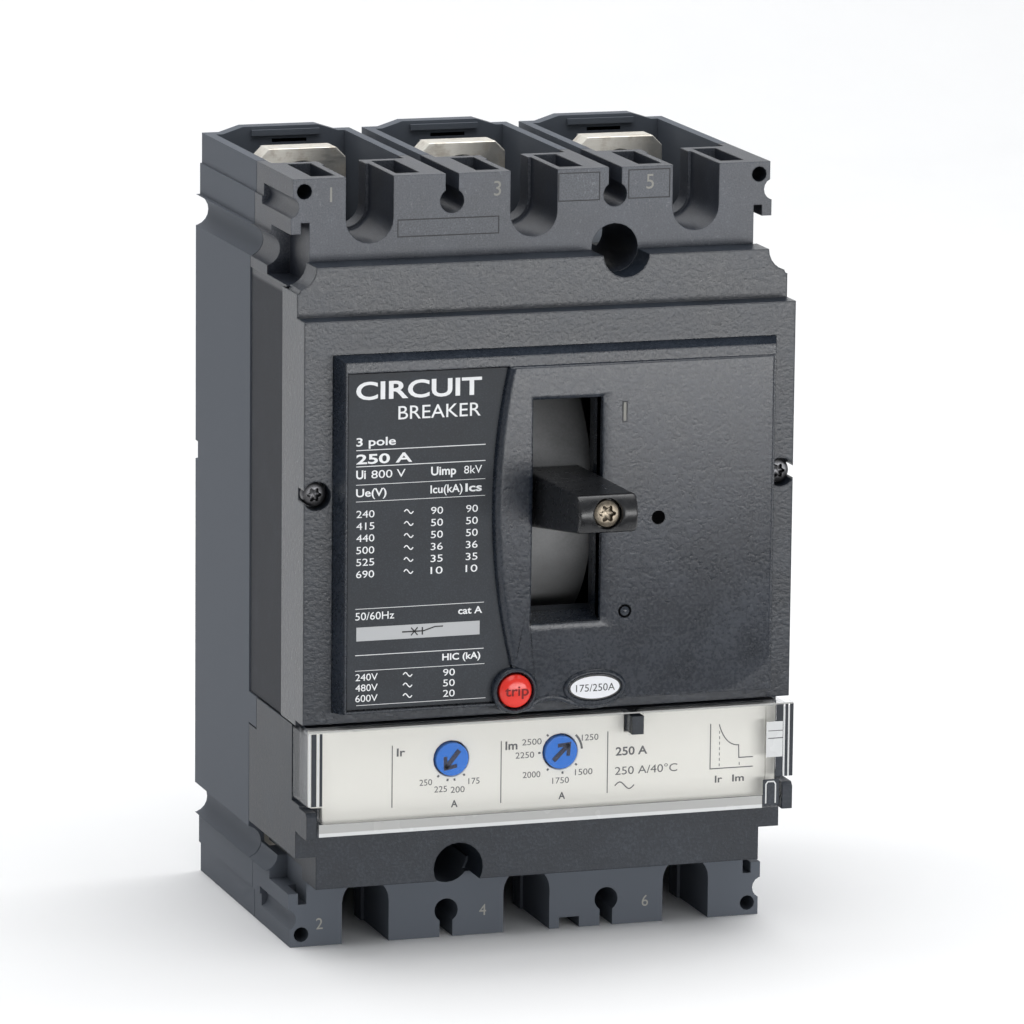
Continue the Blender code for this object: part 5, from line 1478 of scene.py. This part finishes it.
    def pane(self) -> None:
        """The hinged clear cover, with the thumb catch and the clip at its right end; its edges, catch and clip
        carry painted highlights and painted shade.
        """
        crisp("clear_cover", "clear_pane_cover", Finish.PANE, "clear_cover", "clear_plastic", 0.2)
        low, high = box_of("clear_cover")
        plane, foot, head, side = front(-low[1]), low[2], high[2], self.side_foot
        right, top = 48.6, foot + 5.5
        clip = [(46.5, foot + 0.9), (46.5, top - 0.5), (46.9, top), (right - 0.4, top), (right, top - 0.5)]
        # Painted shade: dark stripes where the clear cover's side edges look dark, and a dark patch at the foot
        # of the clip.
        dark = Ink("pane_shade", plane, 0.02).patches(
            (-51.7, -50.6, side, head - 0.6),
            (-49.95, -49.35, side, head - 0.6),
            (48.5, 50.1, side, head - 0.3),
            (50.5, 51.15, side, head - 0.3),
            (51.5, 52.3, side, head - 0.3),
            (45.8, 49.4, foot + 0.5, foot + 6.0),
        )
        # Painted highlights: bright lines on the cover's lower and side edges, a bright patch on the catch, and
        # the clip's outline.
        bright = Ink("pane_painted_highlights", plane, 0.04).patches(
            (-50.0, 45.7, foot + 0.05, foot + 0.8),
            (-52.3, -51.9, side, head - 0.4),
            (-50.45, -50.05, side, head - 0.8),
            (50.15, 50.45, side, head - 0.8),
            (51.2, 51.45, side, head - 0.8),
            (46.4, 50.0, foot + 10.7, foot + 18.2),
        )
        bright.stroke([*clip, (right, foot + 0.9)], 0.28)
        # Painted shade: grey bands standing in for the sloped clear lip at the foot and along the top of the
        # cover.
        lip_shade = Ink("pane_lip_shade", plane, 0.03).patches(
            (-50.0, 45.7, foot + 0.8, foot + 2.65), (-52.2, 52.2, head - 0.4, head - 0.1)
        )
        seam = Ink("catch_seam", plane, 0.06).patches(
            (46.8, 50.0, foot + 14.6, foot + 14.8), (46.8, 50.0, foot + 16.2, foot + 16.35)
        )
        for trim, finish in (
            (dark, Finish.UNIT),
            (bright, Finish.RIM_LIGHT),
            (lip_shade, Finish.LIP),
            (seam, Finish.GREY_INK),
        ):
            trim.build(finish, "clear_cover")


@dataclass
class Toggle:
    """Toggle handle, its star screw and the curved dust shutter."""

    tilt: float = math.radians(4.8)
    pivot: Point = (1.45, -48.0, 11.6)
    root: float = 29.8
    end: float = 65.7
    half_width: float = 6.25
    half_root: float = 6.0
    half_end: float = 3.75
    corner: float = 0.75
    around: int = 144
    barrelled: float = 1.3
    screw_radius: float = 2.8

    def axes(self) -> Facing:
        """The plane through the pivot, square to the handle's own axis."""
        high, near = math.sin(self.tilt), math.cos(self.tilt)
        return Facing(self.pivot, up=(0.0, high, near), out=(0.0, -near, high))

    def along(self, place: Facing, far: float) -> Point:
        """The point of the handle's axis at a distance from the pivot."""
        return tuple(np.array(self.pivot) + np.array(place.out) * far)

    def barrel(self, ring: Array) -> Array:
        """Distance of the end face from the pivot: end - barrelled * (z / half_end)^2."""
        return self.end - self.barrelled * (ring[:, 1] / self.half_end) ** 2

    def section(self, half_height: float) -> Array:
        """A rounded rectangle: quarter circles of the corner radius about the four inner corners.

        Args:
            half_height: Half its height.

        Returns:
            Points, evenly spaced, shaped (around, 2).
        """
        turn = np.linspace(0.0, np.pi / 2, self.around // 6)
        quarters = []
        for number, (sx, sz) in enumerate(((1, 1), (-1, 1), (-1, -1), (1, -1))):
            angle = turn + number * np.pi / 2
            inner = np.array([sx * (self.half_width - self.corner), sz * (half_height - self.corner)])
            quarters.append(inner + self.corner * np.stack([np.cos(angle), np.sin(angle)], 1))
        line = np.concatenate([*quarters, quarters[0][:1]])
        along = np.concatenate([[0.0], np.cumsum(np.linalg.norm(np.diff(line, axis=0), axis=1))])
        even = np.linspace(0.0, along[-1], self.around, endpoint=False)
        return np.stack([np.interp(even, along, line[:, 0]), np.interp(even, along, line[:, 1])], 1)

    def handle(self) -> None:
        """The handle: rounded sections that taper, turn over the end's edge and run in to the screw's well.

        The end face is a barrel, and its rings blend from the section to a circle.
        """
        place, rings = self.axes(), []
        for far in np.linspace(self.root, self.end - 1.7, 9):
            share = (far - self.root) / (self.end - self.root)
            half = self.half_root + (self.half_end - self.half_root) * share
            ring = self.section(half)
            rings.append((ring, far + 0 * ring[:, 0]))
        edge = self.section(self.half_end + 0.05)
        angle = np.arctan2(edge[:, 1] / self.half_end, edge[:, 0] / self.half_width)
        well = np.stack([np.cos(angle), np.sin(angle)], 1) * (self.screw_radius + 0.35)
        for inset, sink in ((0.0, 0.5), (0.1, 0.22), (0.28, 0.07), (0.5, 0.0)):
            ring = edge * [1 - inset / self.half_width, 1 - inset / self.half_end]
            rings.append((ring, self.barrel(ring) - sink))
        start = rings[-1][0]
        for share in (0.3, 0.6, 0.9, 1.0):
            ring = start + (well - start) * share
            rings.append((ring, self.barrel(ring) - (0.12 if share == 1.0 else 0.0)))
        rings.append((well * 0.96, self.barrel(well) - 0.35))
        rings.append((well * 0.96, self.end - 3.2 + 0 * angle))
        stack = np.stack([place.lay(ring[:, 0], ring[:, 1], far) for ring, far in rings])
        body = Shell("handle").add(*loft(stack))
        body.build(Finish.TOGGLE, "toggle", "toggle_handle", slot="dark_plastic", soft=38.0)

    def build(self) -> None:
        """Build the handle, screw and shutter."""
        self.handle()
        crisp("dust_shutter", "shutter", Finish.SHUTTER, "toggle", "dark_plastic", 0.0)
        place = self.axes()
        top = Facing(self.along(place, self.end - 1.0), up=place.up, out=place.out)
        back = tuple(-part for part in place.out)
        shank = Facing(self.along(place, self.end - 2.9), right=(-1.0, 0.0, 0.0), up=place.up, out=back)
        head = Shell("handle_screw").add(*screw_head(top, self.screw_radius, 1.75))
        head.add(*turned(shank, [1.4, 1.4, 0.8], [0.0, 20.0, 21.0], 32))
        head.build(Finish.BRONZE, "toggle", "toggle_screw", slot="zinc_steel")


@dataclass
class Button:
    """Push-to-trip button with its embossed word."""

    centre: Pair = (-9.1, -24.2)

    def build(self) -> None:
        """Build the cap and the word."""
        crisp("trip_button", "trip_cap", Finish.BUTTON, "button", "button_red", 0.2)
        x, z = self.centre
        word = Ink("trip_word", front(-box_of("trip_button")[0][1]), 0.06)
        word.word("trip", x - 2.55, z - 0.75, 2.2, x + 2.5, 0.012).build(Finish.DEEP_RED, "button")


@dataclass
class Conductors:
    """Terminal bars, captive nuts, contacts and heaters."""

    poles: tuple[int, ...] = (1, 2, 3)

    def build(self) -> None:
        """Dress every conductor."""
        for pole in self.poles:
            for side, number in (("line", 2 * pole - 1), ("load", 2 * pole)):
                node, name = f"{side}_terminal_{number}", f"{side}_bar_{number}"
                crisp(node, name, Finish.BAR, "housing", "tinned_copper")
                dress(f"terminal_nut_{number}", Finish.STEEL)
                dress(f"arc_chute_{side}_{pole}", Finish.CHUTE)
            for node, finish in (
                ("fixed_contact", Finish.COPPER),
                ("moving_contact", Finish.COPPER),
                ("bimetal", Finish.BIMETAL),
                ("magnet_yoke", Finish.IRON),
            ):
                dress(f"{node}_{pole}", finish)


@dataclass
class Mechanism:
    """Hidden levers, springs, plates and bars."""

    steel: tuple[str, ...] = ("toggle_lever", "toggle_pin", "mechanism_plate_left", "mechanism_plate_right")
    springs: tuple[str, ...] = ("main_spring_left", "main_spring_right", "trip_button_spring")

    def build(self) -> None:
        """Dress every part of the mechanism."""
        for node in self.steel:
            dress(node, Finish.STEEL)
        for node in self.springs:
            dress(node, Finish.SPRING)
        dress("contact_shaft", Finish.SHAFT)
        dress("trip_bar", Finish.TRIP_BAR)


@dataclass
class Studio:
    """Pale sweep, soft lights and the camera."""

    azimuth: float = math.radians(-18.1985)
    elevation: float = math.radians(11.2486)
    roll: float = math.radians(0.5912)
    distance: float = 1498.79
    target: Point = (4.190, -43.0, 3.881)
    lens: float = 251.85
    card: Box = (-60.0, 560.0, -640.0, -215.0)
    paper: tuple[Colour, Colour] = ((0.86, 0.86, 0.86), (0.9, 0.9, 0.9))
    felt: tuple[Colour, Colour] = ((0.012, 0.012, 0.012), (0.02, 0.02, 0.02))
    sky: Colour = (0.93, 0.96, 1.0)
    sky_strength: float = 0.36

    def build(self) -> None:
        """Set up the whole studio."""
        self.camera()
        self.sweep()
        self.flag()
        self.world()
        self.light("top_softbox", (0.05, -0.28, 0.85), (0.0, -0.03, 0.0), (1.0, 0.7), 5.2)
        self.light("left_softbox", (-1.25, -0.35, 0.35), (0.0, -0.03, 0.0), (0.8, 1.1), 0.4)
        self.light("front_strip", (0.24, -0.74, -0.005), (0.0, -0.08, 0.03), (0.6, 0.14), 2.4)
        self.light("back_light", (0.0, 0.35, 1.6), (0.0, 1.5, 0.2), (2.4, 0.8), 23.0)
        bpy.context.scene.view_settings.view_transform = "Standard"

    def camera(self) -> None:
        """Place the camera: back = (sin az cos el, -cos az cos el, sin el), rolled about that line of sight."""
        az, el = self.azimuth, self.elevation
        back = np.array([math.sin(az) * math.cos(el), -math.cos(az) * math.cos(el), math.sin(el)])
        side = np.cross(-back, (0.0, 0.0, 1.0))
        side /= np.linalg.norm(side)
        top = np.cross(side, -back)
        right = math.cos(self.roll) * side + math.sin(self.roll) * top
        up = -math.sin(self.roll) * side + math.cos(self.roll) * top
        lens = bpy.data.cameras.new("camera")
        lens.lens, lens.sensor_width, lens.clip_end = self.lens, 36.0, 20.0
        made = new_object("camera", lens)
        made.matrix_world = pose((right, up, back), (np.array(self.target) + back * self.distance) * MM)
        bpy.context.scene.camera = made

    def sheet(
        self,
        name: str,
        stuff: str,
        points: Array,
        faces: list[list[int]],
        tones: tuple[Colour, Colour],
        cloud: float,
        rough: float,
    ) -> None:
        """Set up one sheet of the studio.

        Args:
            name: Its name.
            stuff: Its material's name.
            points: Its vertices in millimetres.
            faces: Its faces.
            tones: The two colours between which it varies.
            cloud: Size of that variation in millimetres.
            rough: Its roughness.
        """
        mesh = new_mesh(name, points * MM, faces)
        mesh.shade_smooth()
        tree = Tree(stuff)
        tone = tree.blend(tree.noise(cloud, 3.0), *tones)
        mesh.materials.append(tree.finish({"Base Color": tone, "Roughness": rough}))
        new_object(name, mesh)

    def sweep(self) -> None:
        """A pale floor that curves up behind: the profile runs flat, round a quarter circle, and up."""
        floor = CAD_BOX[0][2] / MM - 0.05
        turn = np.linspace(0.0, np.pi / 2, 24)
        bend = 600.0
        y = np.concatenate([[-2600.0, -600.0], 900.0 + bend * np.sin(turn), [900.0 + bend]])
        z = np.concatenate([[floor, floor], floor + bend * (1 - np.cos(turn)), [2600.0]])
        x = np.array([-3200.0, 3200.0])
        points = np.stack(np.broadcast_arrays(x[:, None], y[None, :], z[None, :]), -1)
        index = np.arange(2 * len(y)).reshape(2, len(y))
        faces = np.stack([index[0, :-1], index[1, :-1], index[1, 1:], index[0, 1:]], -1).tolist()
        self.sheet("sweep", "sweep_paper", points.reshape(-1, 3), faces, self.paper, 60.0, 0.85)

    def flag(self) -> None:
        """A dark card on the floor in front, out of view, which keeps the lower front free of glare."""
        x0, x1, y0, y1 = self.card
        height = CAD_BOX[0][2] / MM
        corners = np.array([(x0, y0, height), (x1, y0, height), (x1, y1, height), (x0, y1, height)])
        self.sheet("flag", "flag_felt", corners, [[0, 1, 2, 3]], self.felt, 2.0, 0.95)

    def world(self) -> None:
        """Even light from all round."""
        world = bpy.data.worlds.new("studio")
        world.use_nodes = True
        ground = world.node_tree.nodes["Background"]
        ground.inputs["Color"].default_value = (*self.sky, 1.0)
        ground.inputs["Strength"].default_value = self.sky_strength
        bpy.context.scene.world = world

    def light(
        self,
        name: str,
        place: Point,
        aim: Point,
        size: Pair,
        power: float,
    ) -> None:
        """Add a soft light.

        Args:
            name: Its name.
            place: Its centre in metres.
            aim: The point that it faces.
            size: Its two sides in metres.
            power: Watts.
        """
        lamp = bpy.data.lights.new(name, "AREA")
        lamp.shape, lamp.size, lamp.size_y, lamp.energy = "RECTANGLE", size[0], size[1], power
        back = np.array(place) - np.array(aim)
        back /= np.linalg.norm(back)
        side = np.cross((0.0, 0.0, 1.0), back)
        side /= np.linalg.norm(side)
        new_object(name, lamp).matrix_world = pose((side, np.cross(back, side), back), place)


def main() -> None:
    """Build the breaker's sub-assemblies in order, then the studio, and report each piece."""
    logging.basicConfig(level=logging.INFO, format="%(name)s: %(message)s")
    kinds = (Housing, FacePlate, RatingLabel, TripUnit, Toggle, Button, Conductors, Mechanism, Studio)
    for assembly in kinds:
        LOG.info("building %s", assembly.__name__)
        assembly().build()


if __name__ == "__main__":
    main()
